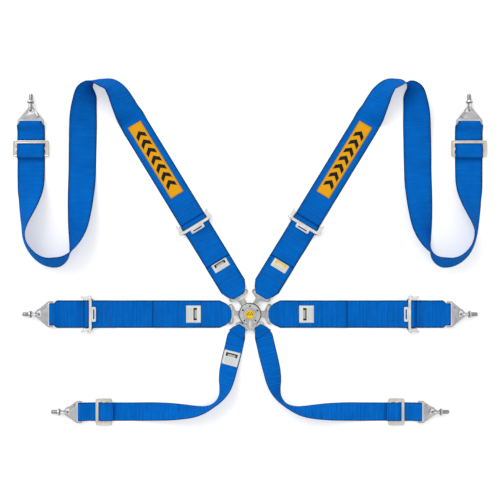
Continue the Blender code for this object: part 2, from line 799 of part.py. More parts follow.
def tongue(arm, side_name):
    """Blade that locks in the buckle, opening out to the bar that carries the webbing."""
    size = TONGUES[arm]
    bar, blade = size["bar"], size["blade"]
    slot_half = size["web_end"] + SLOT_SIDE
    wing = slot_half + CHEEKS[arm]
    slot_in = bar - BAR_HALF - SLOT
    half = [
        (BLADE_NOSE, NOSE_HALF),
        (BLADE_NOSE + NOSE_SLOPE, blade),
        (max(slot_in - WING_SWEEP, BUCKLE_R + GAP), blade),
        (slot_in - WING_SWEEP / 2, WING_WAIST * wing),
        (slot_in, wing),
        (bar + BAR_HALF, wing),
    ]
    outside = half + [(u, -v) for u, v in reversed(half)]
    loops = [
        rounded(outside, NOSE_HALF, 2),
        box_loop(slot_in, bar - BAR_HALF, -slot_half, slot_half),
        circle(PIN_CIRCLE, 0, PIN_R + PIN_CLEARANCE, 12),
    ]
    piece = outline(f"{arm}_tongue_{side_name}", loops, PLATE, harness, materials["cast_alloy"])
    return seat(piece, empties[arm, side_name], (0, 0, BAR_Z))


def adjuster_frame(name, parent, reach):
    """Frame with two sides, front bar, pull tab and ears; its origin is on the fixed bar's axis."""
    pivot = (reach + ADJ_FIXED_U, 0, BAR_Z)
    inner = WIDE / 2 + ADJ_SIDE_ROOM
    outer = inner + ADJ_SIDE
    back, front, tall = ADJ_BAR
    fixed = (-ADJ_FIXED_U, -BAR_Z)  # from the pivot to the frame's own zero
    bar_low = FRONT_Z + fixed[1]
    bar_high = bar_low + tall
    lock = (ADJ_LOCK_U + fixed[0], ADJ_LOCK_Z + fixed[1])
    slot_low = lock[1] - ADJ_STUB_R - GAP
    slot_high = lock[1] + ADJ_STUB_R + GAP
    side_end = lock[0] + ADJ_TRAVEL[1] + ADJ_STUB_R + 2 * ADJ_WALL
    side_loop = [
        (-ADJ_FIXED_R - ADJ_WALL, -ADJ_FIXED_R - ADJ_WALL / 2),
        (ADJ_FIXED_R + ADJ_WALL, -ADJ_FIXED_R - ADJ_WALL / 2),
        (side_end, slot_low - ADJ_WALL),
        (side_end, slot_high + ADJ_WALL),
        (front + fixed[0] + ADJ_WALL / 2, bar_high),
        (back + fixed[0], bar_high),
    ]
    slot = box_loop(
        lock[0] - ADJ_STUB_R - ADJ_TRAVEL[0] - GAP,
        lock[0] + ADJ_STUB_R + ADJ_TRAVEL[1] + GAP,
        slot_low,
        slot_high,
    )
    upright = Matrix.Rotation(math.radians(90), 4, "X")
    pieces = []
    for side in (1, -1):
        wall = to_mesh(outline("side", [rounded(side_loop, ADJ_WALL, 1), slot], ADJ_SIDE, helpers))
        wall.matrix_world = Matrix.Translation((0, side * (inner + outer) / 2, 0)) @ upright
        ear_end, ear_wide, ear_thick = ADJ_EAR
        root, tip = side * (outer - 2 * BITE), side * (outer + ear_wide)
        ear = [
            (fixed[0] + back, root),
            (fixed[0] + back + ADJ_WALL, (root + tip) / 2),
            (fixed[0] + ear_end - ADJ_TIP, tip),
            (fixed[0] + ear_end, tip),
            (fixed[0] + ear_end, tip - side * ADJ_TIP),
            (side_end - ADJ_WALL, root),
        ]
        lobe = to_mesh(outline("ear", [rounded(ear, ADJ_WALL, 1)], ear_thick, helpers))
        lobe.location.z = slot_high + BITE + ear_thick / 2
        pieces += [wall, lobe]
    ends = [(0, side * (outer - BITE), 0) for side in (-1, 1)]
    pieces.append(cylinder("fixed", ADJ_FIXED_R, *ends, helpers, 12))
    reach_tab, half_tab = ADJ_TAB
    slot_wide, slot_half = ADJ_TAB_SLOT
    tab = rounded(box_loop(fixed[0] - reach_tab, fixed[0] + back + 2 * BITE, -half_tab, half_tab), 0.003, 2)
    middle = fixed[0] + (back - reach_tab) / 2
    hole = box_loop(middle - slot_wide, middle + slot_wide, -slot_half, slot_half)
    grip = to_mesh(outline("tab", [tab, hole], ADJ_TAB_THICK, helpers))
    grip.location.z = bar_low + ADJ_TAB_THICK / 2 + GAP
    pieces.append(grip)
    bpy.context.view_layer.update()
    low = (fixed[0] + back, -inner - BITE, bar_low)
    high = (fixed[0] + front, inner + BITE, bar_high)
    frame = block(name, low, high, harness)
    frame = baked(combine(frame, pieces, "UNION"), materials["plated_steel"])
    return seat(frame, parent, pivot)


def lock_bar(name, parent, reach):
    """Round bar that slides in the adjuster's slots on the stubs at its ends."""
    body = WIDE / 2 + ADJ_SIDE_ROOM - GAP
    stub = WIDE / 2 + ADJ_SIDE_ROOM + ADJ_SIDE + ADJ_STUB_OUT
    profile = [(0, stub), (ADJ_STUB_R, stub), (ADJ_STUB_R, body), (ADJ_LOCK_R, body)]
    profile += [(r, -z) for r, z in reversed(profile)]
    bar = smoothed(turned(name, profile, harness, materials["plated_steel"], 12))
    bar.data.transform(Matrix.Rotation(math.radians(90), 4, "X"))
    return seat(bar, parent, (reach + ADJ_LOCK_U, 0, ADJ_LOCK_Z))


def three_bar_slide(name, arm, parent):
    half = (WIDE if arm == "shoulder" else NARROW) / 2 + SLIDE_ROOM
    length = SLIDE_LENGTH / 2
    bar = SLIDE_BAR / 2
    rim = rounded(box_loop(-length, length, -half - SLIDE_RIM, half + SLIDE_RIM), 0.004)
    slots = [
        box_loop(bar, length - SLIDE_BAR, -half, half),
        box_loop(-length + SLIDE_BAR, -bar, -half, half),
    ]
    slide = outline(name, [rim, *slots], PLATE, harness, materials["plated_steel"])
    return seat(slide, parent, (-SLIDE_BACK[arm], 0, SLIDE_Z))


def anchor_plate(name, arm, side, parent):
    """Triangular hook plate: webbing bar and slot at its base, hooked tip open on one side."""
    slot_half = ANCHOR_WEB[arm] + SLOT_SIDE
    wide = slot_half + LUG_WIDTH
    bar_back = ANCHOR_BAR - BAR_HALF
    bar_front = ANCHOR_BAR + BAR_HALF
    rise = (wide - TIP_HALF) / (PLATE_TIP - BASE_TO)

    def edge(u):
        return wide - rise * (u - BASE_TO)

    near, far = MOUTH
    lip = PLATE_TIP - TIP_WALL
    outside = [
        (bar_back, slot_half),
        (-LUG_BACK, slot_half),
        (-LUG_BACK, wide),
        (BASE_TO, wide),
        (PLATE_TIP, TIP_HALF),
        (PLATE_TIP, -TIP_HALF),
        (far, -edge(far)),
        (far, -HOOK_HALF),
        (lip, -HOOK_HALF + HOOK_CORNER),
        (lip, HOOK_HALF - HOOK_CORNER),
        (lip - 2 * HOOK_CORNER, HOOK_HALF),
        (near, HOOK_HALF),
        (near - HOOK_CORNER, HOOK_HALF - HOOK_CORNER),
        (near - HOOK_CORNER, -HOOK_HALF + HOOK_CORNER),
        (near, -HOOK_HALF),
        (near, -edge(near)),
        (BASE_TO, -wide),
        (-LUG_BACK, -wide),
        (-LUG_BACK, -slot_half),
        (bar_back, -slot_half),
    ]
    loops = [
        rounded([(u, side * v) for u, v in outside], PLATE_CORNER, 1),
        box_loop(bar_front, -ANCHOR_BAR + bar_front, -slot_half, slot_half),
        circle(LATCH_PIVOT[0], -side * latch_side(arm), LATCH_PIN_R + RIVET_CLEARANCE, 12),
    ]
    moved = [[(u - ANCHOR_BAR, v) for u, v in loop] for loop in loops]
    plate = outline(name, moved, PLATE, harness, materials["plated_steel"])
    return seat(plate, parent, (ANCHOR_BAR, 0, ANCHOR_Z))


def latch_side(arm):
    """How far the latch's pivot is from the middle of its plate."""
    return LATCH_PIVOT[1] - (ANCHOR_WEB["lap"] - ANCHOR_WEB[arm]) * 0.5


def anchor_latch(name, arm, side, parent):
    """Sprung lever that closes the hook's mouth, on a rivet through the plate."""
    pivot = Vector((LATCH_PIVOT[0], -side * latch_side(arm)))
    nose = Vector((LATCH_NOSE[0], -side * LATCH_NOSE[1])) - pivot
    along = nose.normalized()
    across = Vector((-along.y, along.x))
    lever = [
        -along * LATCH_HALF + across * LATCH_HALF,
        nose + across * LATCH_HALF * 0.8,
        nose - across * LATCH_HALF * 0.8,
        -along * LATCH_HALF - across * LATCH_HALF,
    ]
    loop = rounded([tuple(p) for p in lever], 0.8 * LATCH_HALF, 2)
    arm_plate = to_mesh(outline(name, [loop], LATCH_THICK, harness))
    top = LATCH_THICK / 2
    foot = -top - PLATE - 2 * GAP
    pin = cylinder("pin", LATCH_PIN_R, (0, 0, top), (0, 0, foot - RIVET_HEAD + GAP), helpers, 8)
    boss = cylinder("boss", LATCH_BOSS_R, (0, 0, -top / 2), (0, 0, top + RIVET_HEAD - GAP), helpers, 10)
    head = cylinder("head", LATCH_BOSS_R, (0, 0, foot), (0, 0, foot - RIVET_HEAD), helpers, 10)
    latch = baked(combine(arm_plate, [pin, boss, head], "UNION"), materials["plated_steel"])
    return seat(latch, parent, (pivot.x, pivot.y, ANCHOR_Z + PLATE / 2 + GAP + LATCH_THICK / 2))


def eyebolt(name, parent):
    """Ring, collar and shank; its origin is the middle of the ring, its nose rests on the floor."""
    bpy.ops.mesh.primitive_torus_add(
        major_segments=16,
        minor_segments=8,
        major_radius=EYE_RING,
        minor_radius=EYE_WIRE,
    )
    ring = bpy.context.object
    ring.name = ring.data.name = name
    ring.users_collection[0].objects.unlink(ring)
    harness.objects.link(ring)
    ring.data.transform(Matrix.Rotation(math.radians(90), 4, "X"))
    neck = cylinder("neck", SHANK_R, (EYE_RING, 0, 0), (SHANK_TO, 0, 0), helpers, 12)
    collar = cylinder("collar", COLLAR_R, (COLLAR_FROM, 0, 0), (COLLAR_TO, 0, 0), helpers, 16)
    bolt = baked(combine(ring, [neck, collar], "UNION"), materials["plated_steel"])
    return seat(bolt, parent, (EYE_U, 0, EYE_Z), EYEBOLT_DROP)


def shoulder_patch(name, parent):
    low = WEB + GAP
    high = low + PATCH_THICK
    patch = block(name, (PATCH_FROM, -PATCH_HALF, low), (PATCH_TO, PATCH_HALF, high), harness)
    patch.data.materials.append(materials["patch"])
    return seat(patch, parent)


# ---- the harness --------------------------------------------------------------------------------------


def mirrored_frame(frame, side):
    """The frame of the same arm on the other side, still right-handed."""
    if side > 0:
        return frame.copy()
    place = frame.translation
    polar = math.pi - frame.to_euler().z
    return Matrix.Translation((-place.x, place.y, 0)) @ Matrix.Rotation(polar, 4, "Z")


clear_scene()
harness = new_collection("racing_harness")
helpers = new_collection("helpers")
materials = {name: new_material(name) for name in COLOURS}

arm_frames = {arm: Matrix.Rotation(polar, 4, "Z") for arm, polar in ARMS.items()}
anchor_frames = {
    "shoulder": Matrix.Translation((*SHOULDER_ANCHOR, 0)) @ Matrix.Rotation(math.radians(90), 4, "Z"),
    "lap": Matrix.Translation((-LAP_REACH, 0, 0)) @ Matrix.Rotation(math.radians(180), 4, "Z"),
    "leg": Matrix.Translation((*LEG_ANCHOR, 0)) @ Matrix.Rotation(math.radians(180), 4, "Z"),
}
tongue_frames = {}
empties = {}
anchor_empties = {}
for arm_name in ARMS:
    for side_name, sign in SIDES.items():
        arm_side = mirrored_frame(arm_frames[arm_name], sign)
        tongue_frames[arm_name, side_name] = arm_side
        empties[arm_name, side_name] = new_empty(f"{arm_name}_arm_{side_name}", arm_side)
        far_end = mirrored_frame(anchor_frames[arm_name], sign)
        anchor_empties[arm_name, side_name] = new_empty(f"{arm_name}_end_{side_name}", far_end)

buckle_base()
buckle_cover()
release_rotor()
rotor_badge()
lift_plate()
lock_pins()
rotor_spring()

straps = {
    "shoulder_strap_lower": ("shoulder", lower_strap("shoulder", SHOULDER_ADJUSTER), "bar"),
    "shoulder_strap_upper": ("shoulder", upper_shoulder_strap(), SHOULDER_ADJUSTER),
    "lap_strap_inner": ("lap", lower_strap("lap", LAP_ADJUSTER), "bar"),
    "lap_strap_outer": ("lap", outer_lap_strap(), LAP_ADJUSTER),
    "leg_strap": ("leg", leg_strap(), "bar"),
}
for side_name, sign in SIDES.items():
    for strap_name, (arm_name, places, held_by) in straps.items():
        if held_by == "bar":
            pivot = Vector((TONGUES[arm_name]["bar"], 0, BAR_Z))
        else:
            pivot = Vector((held_by + ADJ_LOCK_U, 0, ADJ_LOCK_Z))
        home = (tongue_frames[arm_name, side_name], empties[arm_name, side_name])
        webbing(f"{strap_name}_{side_name}", places, sign, *home, pivot)
    for arm_name in ARMS:
        end = anchor_empties[arm_name, side_name]
        tongue(arm_name, side_name)
        anchor_plate(f"{arm_name}_anchor_plate_{side_name}", arm_name, sign, end)
        anchor_latch(f"{arm_name}_latch_{side_name}", arm_name, sign, end)
        eyebolt(f"{arm_name}_eyebolt_{side_name}", end)
    for arm_name, adjuster_reach in (("shoulder", SHOULDER_ADJUSTER), ("lap", LAP_ADJUSTER)):
        home_empty = empties[arm_name, side_name]
        adjuster_frame(f"{arm_name}_adjuster_frame_{side_name}", home_empty, adjuster_reach)
        lock_bar(f"{arm_name}_lock_bar_{side_name}", home_empty, adjuster_reach)
    for arm_name in ("shoulder", "leg"):
        three_bar_slide(f"{arm_name}_slide_{side_name}", arm_name, anchor_empties[arm_name, side_name])
    shoulder_patch(f"shoulder_patch_{side_name}", empties["shoulder", side_name])
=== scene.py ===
import math

import bmesh
import bpy
from mathutils import Matrix, Vector, noise


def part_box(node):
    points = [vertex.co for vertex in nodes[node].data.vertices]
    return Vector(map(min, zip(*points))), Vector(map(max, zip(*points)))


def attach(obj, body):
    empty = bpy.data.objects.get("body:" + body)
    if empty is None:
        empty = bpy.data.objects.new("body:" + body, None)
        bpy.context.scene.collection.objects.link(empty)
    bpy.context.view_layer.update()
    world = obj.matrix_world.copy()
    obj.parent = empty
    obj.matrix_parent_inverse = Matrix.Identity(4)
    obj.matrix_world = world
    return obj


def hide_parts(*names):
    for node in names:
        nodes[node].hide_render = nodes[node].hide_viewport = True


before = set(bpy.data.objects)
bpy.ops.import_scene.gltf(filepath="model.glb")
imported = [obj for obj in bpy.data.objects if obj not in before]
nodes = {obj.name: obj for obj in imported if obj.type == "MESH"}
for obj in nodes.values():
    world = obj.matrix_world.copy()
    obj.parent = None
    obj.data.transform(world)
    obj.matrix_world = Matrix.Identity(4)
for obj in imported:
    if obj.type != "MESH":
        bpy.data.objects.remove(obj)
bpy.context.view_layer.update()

gap = 0.0003  # air between pieces that touch on a real harness
plateThick = 0.003

# ---- small helpers for working as by hand


def deselectAll():
    if bpy.context.object and bpy.context.object.mode != "OBJECT":
        bpy.ops.object.mode_set(mode="OBJECT")
    bpy.ops.object.select_all(action="DESELECT")


def pick(obj):
    deselectAll()
    obj.select_set(True)
    bpy.context.view_layer.objects.active = obj
    return obj


def startEdit(obj, mode="FACE"):
    pick(obj)
    bpy.ops.object.mode_set(mode="EDIT")
    bpy.ops.mesh.select_mode(type=mode)
    bpy.ops.mesh.select_all(action="DESELECT")


def endEdit():
    bpy.ops.object.mode_set(mode="OBJECT")


def pickFaces(obj, wanted):
    bpy.ops.mesh.select_all(action="DESELECT")
    mesh = bmesh.from_edit_mesh(obj.data)
    for face in mesh.faces:
        if wanted(face):
            face.select_set(True)
    mesh.select_flush_mode()
    bmesh.update_edit_mesh(obj.data)


def pickEdges(obj, wanted):
    bpy.ops.mesh.select_all(action="DESELECT")
    mesh = bmesh.from_edit_mesh(obj.data)
    for edge in mesh.edges:
        if wanted(edge):
            edge.select_set(True)
    mesh.select_flush_mode()
    bmesh.update_edit_mesh(obj.data)


def middleOf(edge):
    return (edge.verts[0].co + edge.verts[1].co) / 2


def newCylinder(name, radius, low, high, sides=48, at=(0, 0)):
    deselectAll()
    bpy.ops.mesh.primitive_cylinder_add(
        vertices=sides, radius=radius, depth=high - low, location=(*at, (low + high) / 2)
    )
    return settle(bpy.context.object, name)


def newBox(name, low, high):
    deselectAll()
    low, high = Vector(low), Vector(high)
    bpy.ops.mesh.primitive_cube_add(size=1, location=(low + high) / 2, scale=high - low)
    return settle(bpy.context.object, name)


def settle(obj, name):
    # its place goes into the mesh and the object back to the origin
    obj.name = obj.data.name = name
    pick(obj)
    bpy.ops.object.transform_apply(location=True, rotation=True, scale=True)
    return obj


def applyModifier(obj, kind, **settings):
    pick(obj)
    modifier = obj.modifiers.new(kind.title(), kind)
    for key, value in settings.items():
        setattr(modifier, key, value)
    bpy.ops.object.modifier_apply(modifier=modifier.name)
    return obj


def roundEdges(obj, width, segments=2, angle=35):
    return applyModifier(
        obj,
        "BEVEL",
        width=width,
        segments=segments,
        limit_method="ANGLE",
        angle_limit=math.radians(angle),
        use_clamp_overlap=True,
    )


def cutWith(obj, tool, operation="DIFFERENCE", solver="EXACT"):
    applyModifier(obj, "BOOLEAN", object=tool, operation=operation, solver=solver)
    bpy.data.objects.remove(tool)
    return obj


def cleanUp(obj, angle=32):
    startEdit(obj)
    bpy.ops.mesh.select_all(action="SELECT")
    bpy.ops.mesh.remove_doubles(threshold=1e-6)
    bpy.ops.mesh.normals_make_consistent(inside=False)
    endEdit()
    bpy.ops.object.shade_smooth_by_angle(angle=math.radians(angle))
    return obj


def placed(obj, matrix, name):
    # a copy with its own mesh, its place in the mesh
    made = obj.copy()
    made.data = obj.data.copy()
    made.name = made.data.name = name
    bpy.context.scene.collection.objects.link(made)
    made.data.transform(matrix)
    return made


def markPaintedWallShade(obj):
    # how far each corner of a face turns away from lying flat; the metal materials paint shade on walls and
    # bevels by it
    mesh = obj.data
    paintedWallShade = mesh.attributes.new("paintedWallShade", "FLOAT", "CORNER")
    for corner, mark in zip(mesh.corner_normals, paintedWallShade.data):
        mark.value = 1 - abs(corner.vector.z)


def wear(obj, body, slotName, material, *stoodFor):
    obj.data.materials.clear()
    obj.data.materials.append(material)
    if slotName != "webbing" and slotName != "patch":
        markPaintedWallShade(obj)
    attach(obj, body)
    if stoodFor:
        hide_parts(*stoodFor)
    return obj


def finishedCopy(node, name, edge, pressed=None, slotted=False):
    # the node's own shape with rounded edges, and a pressed middle inside a raised rim
    mesh = nodes[node].data.copy()
    mesh.name = name
    obj = bpy.data.objects.new(name, mesh)
    bpy.context.scene.collection.objects.link(obj)
    startEdit(obj)
    bpy.ops.mesh.select_all(action="SELECT")
    bpy.ops.mesh.remove_doubles(threshold=1e-6)
    bpy.ops.mesh.dissolve_limited(angle_limit=math.radians(1.0))
    if slotted:  # a face with slots through it is cut into simple ones before its edges are rounded
        bpy.ops.mesh.quads_convert_to_tris(quad_method="BEAUTY", ngon_method="BEAUTY")
        bpy.ops.mesh.tris_convert_to_quads(face_threshold=0.02, shape_threshold=math.pi)
    endEdit()
    roundEdges(obj, edge)
    startEdit(obj)
    bpy.ops.mesh.select_all(action="SELECT")
    bpy.ops.mesh.dissolve_degenerate(threshold=2e-5)
    endEdit()
    if pressed:
        rim, slope, depth = pressed
        top = max(v.co.z for v in obj.data.vertices)
        startEdit(obj)
        pickFaces(obj, lambda f: f.normal.z > 0.999 and f.calc_center_median().z > top - 1e-5)
        bpy.ops.mesh.quads_convert_to_tris(quad_method="BEAUTY", ngon_method="BEAUTY")
        bpy.ops.mesh.inset(thickness=rim, depth=0, use_even_offset=False)
        bpy.ops.mesh.inset(thickness=slope, depth=-depth, use_even_offset=False)
        endEdit()
    pick(obj)
    bpy.ops.object.shade_smooth_by_angle(angle=math.radians(32))
    return obj


# ---- surface effects shared by the materials


def addNode(tree, kind, where=(0, 0), **settings):
    node = tree.nodes.new(kind)
    node.location = where
    for key, value in settings.items():
        setattr(node, key, value)
    return node


def compute(tree, operation, a, b=None, c=None, clamp=False):
    node = addNode(tree, "ShaderNodeMath", operation=operation, use_clamp=clamp)
    for socket, value in zip(node.inputs, (a, b, c)):
        if value is None:
            continue
        if isinstance(value, (int, float)):
            socket.default_value = value
        else:
            tree.links.new(value, socket)
    return node.outputs[0]


def blendColours(tree, share, low, high, mode="MIX"):
    node = addNode(tree, "ShaderNodeMix", data_type="RGBA", blend_type=mode)
    for index, value in ((0, share), (6, low), (7, high)):
        socket = node.inputs[index]
        if isinstance(value, (int, float)):
            socket.default_value = value
        elif isinstance(value, tuple):
            socket.default_value = (*value, 1)
        else:
            tree.links.new(value, socket)
    return node.outputs[2]


def spread(tree, value, fromLow, fromHigh, toLow, toHigh):
    node = addNode(tree, "ShaderNodeMapRange")
    tree.links.new(value, node.inputs[0])
    for socket, number in zip(node.inputs[1:5], (fromLow, fromHigh, toLow, toHigh)):
        socket.default_value = number
    return node.outputs[0]


def newEffect(name, inputs, outputs):
    group = bpy.data.node_groups.new(name, "ShaderNodeTree")
    for label, kind, value in inputs:
        socket = group.interface.new_socket(name=label, in_out="INPUT", socket_type=kind)
        if value is not None:
            socket.default_value = value
    for label in outputs:
        group.interface.new_socket(name=label, in_out="OUTPUT", socket_type="NodeSocketFloat")
    return group, addNode(group, "NodeGroupInput"), addNode(group, "NodeGroupOutput")


def placeEffect(tree, group, **values):
    node = addNode(tree, "ShaderNodeGroup", node_tree=group)
    for label, value in values.items():
        socket = node.inputs[label]
        if isinstance(value, (int, float)):
            socket.default_value = value
        else:
            tree.links.new(value, socket)
    return node


def weaveEffect():
    # plain weave: each rib across the strap is broken by the cords that run along it
    group, given, result = newEffect(
        "strapWeave",
        [
            ("Place", "NodeSocketVector", None),
            ("RibPitch", "NodeSocketFloat", 0.0017),
            ("CordPitch", "NodeSocketFloat", 0.0012),
        ],
        ["Height", "Shade", "Mottle"],
    )
    parts = addNode(group, "ShaderNodeSeparateXYZ")
    group.links.new(given.outputs["Place"], parts.inputs[0])
    across, along = parts.outputs[0], parts.outputs[1]
    cords = compute(group, "DIVIDE", across, given.outputs["CordPitch"])
    ribs = compute(group, "DIVIDE", along, given.outputs["RibPitch"])
    odd = compute(group, "GREATER_THAN", compute(group, "FRACT", compute(group, "MULTIPLY", cords, 0.5)), 0.5)
    phase = compute(group, "ADD", ribs, compute(group, "MULTIPLY", odd, 0.5))
    wave = compute(group, "SINE", compute(group, "MULTIPLY", phase, 2 * math.pi))
    crown = compute(group, "ABSOLUTE", compute(group, "SINE", compute(group, "MULTIPLY", cords, math.pi)))
    lifted = compute(group, "MULTIPLY_ADD", wave, 0.5, 0.5)
    woven = compute(group, "MULTIPLY", lifted, crown)
    height = compute(group, "MULTIPLY_ADD", crown, 0.45, compute(group, "MULTIPLY", woven, 0.55))
    slubs = addNode(group, "ShaderNodeTexNoise", noise_dimensions="3D")
    stretch = addNode(group, "ShaderNodeMapping")
    stretch.inputs["Scale"].default_value = (60, 420, 60)
    group.links.new(given.outputs["Place"], stretch.inputs[0])
    group.links.new(stretch.outputs[0], slubs.inputs["Vector"])
    slubs.inputs["Scale"].default_value = 1.0
    slubs.inputs["Detail"].default_value = 3.0
    cloud = addNode(group, "ShaderNodeTexNoise", noise_dimensions="3D")
    group.links.new(given.outputs["Place"], cloud.inputs["Vector"])
    cloud.inputs["Scale"].default_value = 24.0
    cloud.inputs["Detail"].default_value = 4.0
    # broad bands across the strap, lighter and darker in turn
    band = addNode(group, "ShaderNodeTexNoise", noise_dimensions="3D")
    widen = addNode(group, "ShaderNodeMapping")
    widen.inputs["Scale"].default_value = (9, 210, 9)
    group.links.new(given.outputs["Place"], widen.inputs[0])
    group.links.new(widen.outputs[0], band.inputs["Vector"])
    band.inputs["Scale"].default_value = 1.0
    band.inputs["Detail"].default_value = 1.5
    # the shade mixes random tone (bands, slubs) with painted shade where the weave lies low
    fine = compute(group, "MULTIPLY_ADD", slubs.outputs[0], 0.25, compute(group, "MULTIPLY", height, 0.25))
    shade = compute(group, "MULTIPLY_ADD", band.outputs[0], 0.50, fine)
    group.links.new(height, result.inputs["Height"])
    group.links.new(shade, result.inputs["Shade"])
    group.links.new(cloud.outputs[0], result.inputs["Mottle"])
    return group


def selvedgeEffect():
    # the strap's woven edges: a dark band inside a thin rim with a painted highlight
    group, given, result = newEffect(
        "strapSelvedge",
        [
            ("Place", "NodeSocketVector", None),
            ("Band", "NodeSocketFloat", 0.05),
            ("Rim", "NodeSocketFloat", 0.012),
            ("Line", "NodeSocketFloat", 0.16),
        ],
        ["Dark", "Bright", "Second"],
    )
    parts = addNode(group, "ShaderNodeSeparateXYZ")
    group.links.new(given.outputs["Place"], parts.inputs[0])
    inside = compute(group, "SUBTRACT", 1.0, compute(group, "ABSOLUTE", parts.outputs[0]))
    soft = compute(group, "SUBTRACT", 1.0, compute(group, "DIVIDE", inside, given.outputs["Band"]))
    band = compute(group, "MULTIPLY", soft, 1.8, clamp=True)
    rim = compute(group, "SUBTRACT", 1.0, compute(group, "DIVIDE", inside, given.outputs["Rim"]), clamp=True)
    # a second dark cord runs a little way in from each edge
    away = compute(group, "ABSOLUTE", compute(group, "SUBTRACT", inside, given.outputs["Line"]))
    second = compute(group, "SUBTRACT", 1.0, compute(group, "DIVIDE", away, 0.035), clamp=True)
    group.links.new(second, result.inputs["Second"])
    group.links.new(band, result.inputs["Dark"])
    group.links.new(rim, result.inputs["Bright"])
    return group


def metalEffect():
    # the skin of cast and plated metal: fine grain, handling scuffs and cloudy polish
    group, given, result = newEffect(
        "metalSkin",
        [
            ("Place", "NodeSocketVector", None),
            ("GrainScale", "NodeSocketFloat", 1400.0),
            ("ScuffScale", "NodeSocketFloat", 90.0),
        ],
        ["Grain", "Scuff", "Cloud"],
    )
    grain = addNode(group, "ShaderNodeTexNoise")
    group.links.new(given.outputs["Place"], grain.inputs["Vector"])
    group.links.new(given.outputs["GrainScale"], grain.inputs["Scale"])
    grain.inputs["Detail"].default_value = 2.0
    stretch = addNode(group, "ShaderNodeMapping")
    stretch.inputs["Scale"].default_value = (1.0, 7.0, 3.0)
    stretch.inputs["Rotation"].default_value = (0, 0, 0.6)
    group.links.new(given.outputs["Place"], stretch.inputs[0])
    scuff = addNode(group, "ShaderNodeTexNoise")
    group.links.new(stretch.outputs[0], scuff.inputs["Vector"])
    group.links.new(given.outputs["ScuffScale"], scuff.inputs["Scale"])
    scuff.inputs["Detail"].default_value = 6.0
    scuff.inputs["Roughness"].default_value = 0.7
    marks = spread(group, scuff.outputs[0], 0.55, 0.72, 0.0, 1.0)
    cloud = addNode(group, "ShaderNodeTexNoise")
    group.links.new(given.outputs["Place"], cloud.inputs["Vector"])
    cloud.inputs["Scale"].default_value = 55.0
    cloud.inputs["Detail"].default_value = 3.0
    group.links.new(grain.outputs[0], result.inputs["Grain"])
    group.links.new(marks, result.inputs["Scuff"])
    group.links.new(cloud.outputs[0], result.inputs["Cloud"])
    return group


strapWeave = weaveEffect()
strapSelvedge = selvedgeEffect()
metalSkin = metalEffect()


def newMaterial(name):
    material = bpy.data.materials.new(name)
    material.use_nodes = True
    tree = material.node_tree
    return material, tree, tree.nodes["Principled BSDF"]


def readPlace(tree, uvName=None):
    if uvName:
        return addNode(tree, "ShaderNodeUVMap", uv_map=uvName).outputs[0]
    return addNode(tree, "ShaderNodeTexCoord").outputs["Object"]


def addBump(tree, shader, height, strength, distance):
    bump = addNode(tree, "ShaderNodeBump")
    bump.inputs["Strength"].default_value = strength
    bump.inputs["Distance"].default_value = distance
    tree.links.new(height, bump.inputs["Height"])
    tree.links.new(bump.outputs[0], shader.inputs["Normal"])


webbingLook = {
    "light": (0.0018, 0.176, 0.700),
    "deep": (0.0012, 0.112, 0.460),
    # the selvedge colour also paints the shade lines across the straps
    "selvedgeAndShade": (0.0012, 0.034, 0.150),
    # the rim colour is a painted highlight on the strap's edge
    "rim": (0.006, 0.120, 0.480),
    "contrast": (0.36, 0.64),  # the nearer together, the stronger the bands
    "second": 0.0,  # strength of the second cord inside each edge
    "ribPitch": 0.0017,
    "cordPitch": 0.00125,
    "roughness": 0.80,
    "sheen": 0.02,
}


def webbingMaterial(name, look):
    material, tree, shader = newMaterial(name)
    weave = placeEffect(
        tree,
        strapWeave,
        Place=readPlace(tree, "strap"),
        RibPitch=look["ribPitch"],
        CordPitch=look["cordPitch"],
    )
    edge = placeEffect(tree, strapSelvedge, Place=readPlace(tree, "edge"), Band=0.10)
    shade = spread(tree, weave.outputs["Shade"], *look["contrast"], 0.0, 1.0)
    colour = blendColours(tree, shade, look["deep"], look["light"])
    cloud = spread(tree, weave.outputs["Mottle"], 0.30, 0.70, 0.90, 1.06)
    grey = addNode(tree, "ShaderNodeCombineColor")
    for socket in grey.inputs:
        tree.links.new(cloud, socket)
    colour = blendColours(tree, 1.0, colour, grey.outputs[0], "MULTIPLY")
    second = compute(tree, "MULTIPLY", edge.outputs["Second"], look["second"])
    colour = blendColours(tree, second, colour, look["selvedgeAndShade"])
    colour = blendColours(tree, edge.outputs["Dark"], colour, look["selvedgeAndShade"])
    # painted highlight along the strap's very edge
    colour = blendColours(tree, compute(tree, "MULTIPLY", edge.outputs["Bright"], 0.25), colour, look["rim"])
    # painted shade lines: shadows at steps, folds and bars, and one seam line, darken the strap to the
    # selvedge colour
    shadeAndSeamParts = addNode(tree, "ShaderNodeSeparateXYZ")
    tree.links.new(readPlace(tree, "shadeAndSeam"), shadeAndSeamParts.inputs[0])
    colour = blendColours(tree, shadeAndSeamParts.outputs[0], colour, look["selvedgeAndShade"])
    tree.links.new(colour, shader.inputs["Base Color"])
    rough = spread(tree, weave.outputs["Height"], 0.0, 1.0, look["roughness"] + 0.1, look["roughness"] - 0.06)
    tree.links.new(rough, shader.inputs["Roughness"])
    shader.inputs["Specular IOR Level"].default_value = 0.03
    shader.inputs["Sheen Weight"].default_value = look["sheen"]
    shader.inputs["Sheen Roughness"].default_value = 0.5
    shader.inputs["Sheen Tint"].default_value = (0.25, 0.55, 1.0, 1)
    addBump(tree, shader, weave.outputs["Height"], 0.55, 0.0004)
    return material
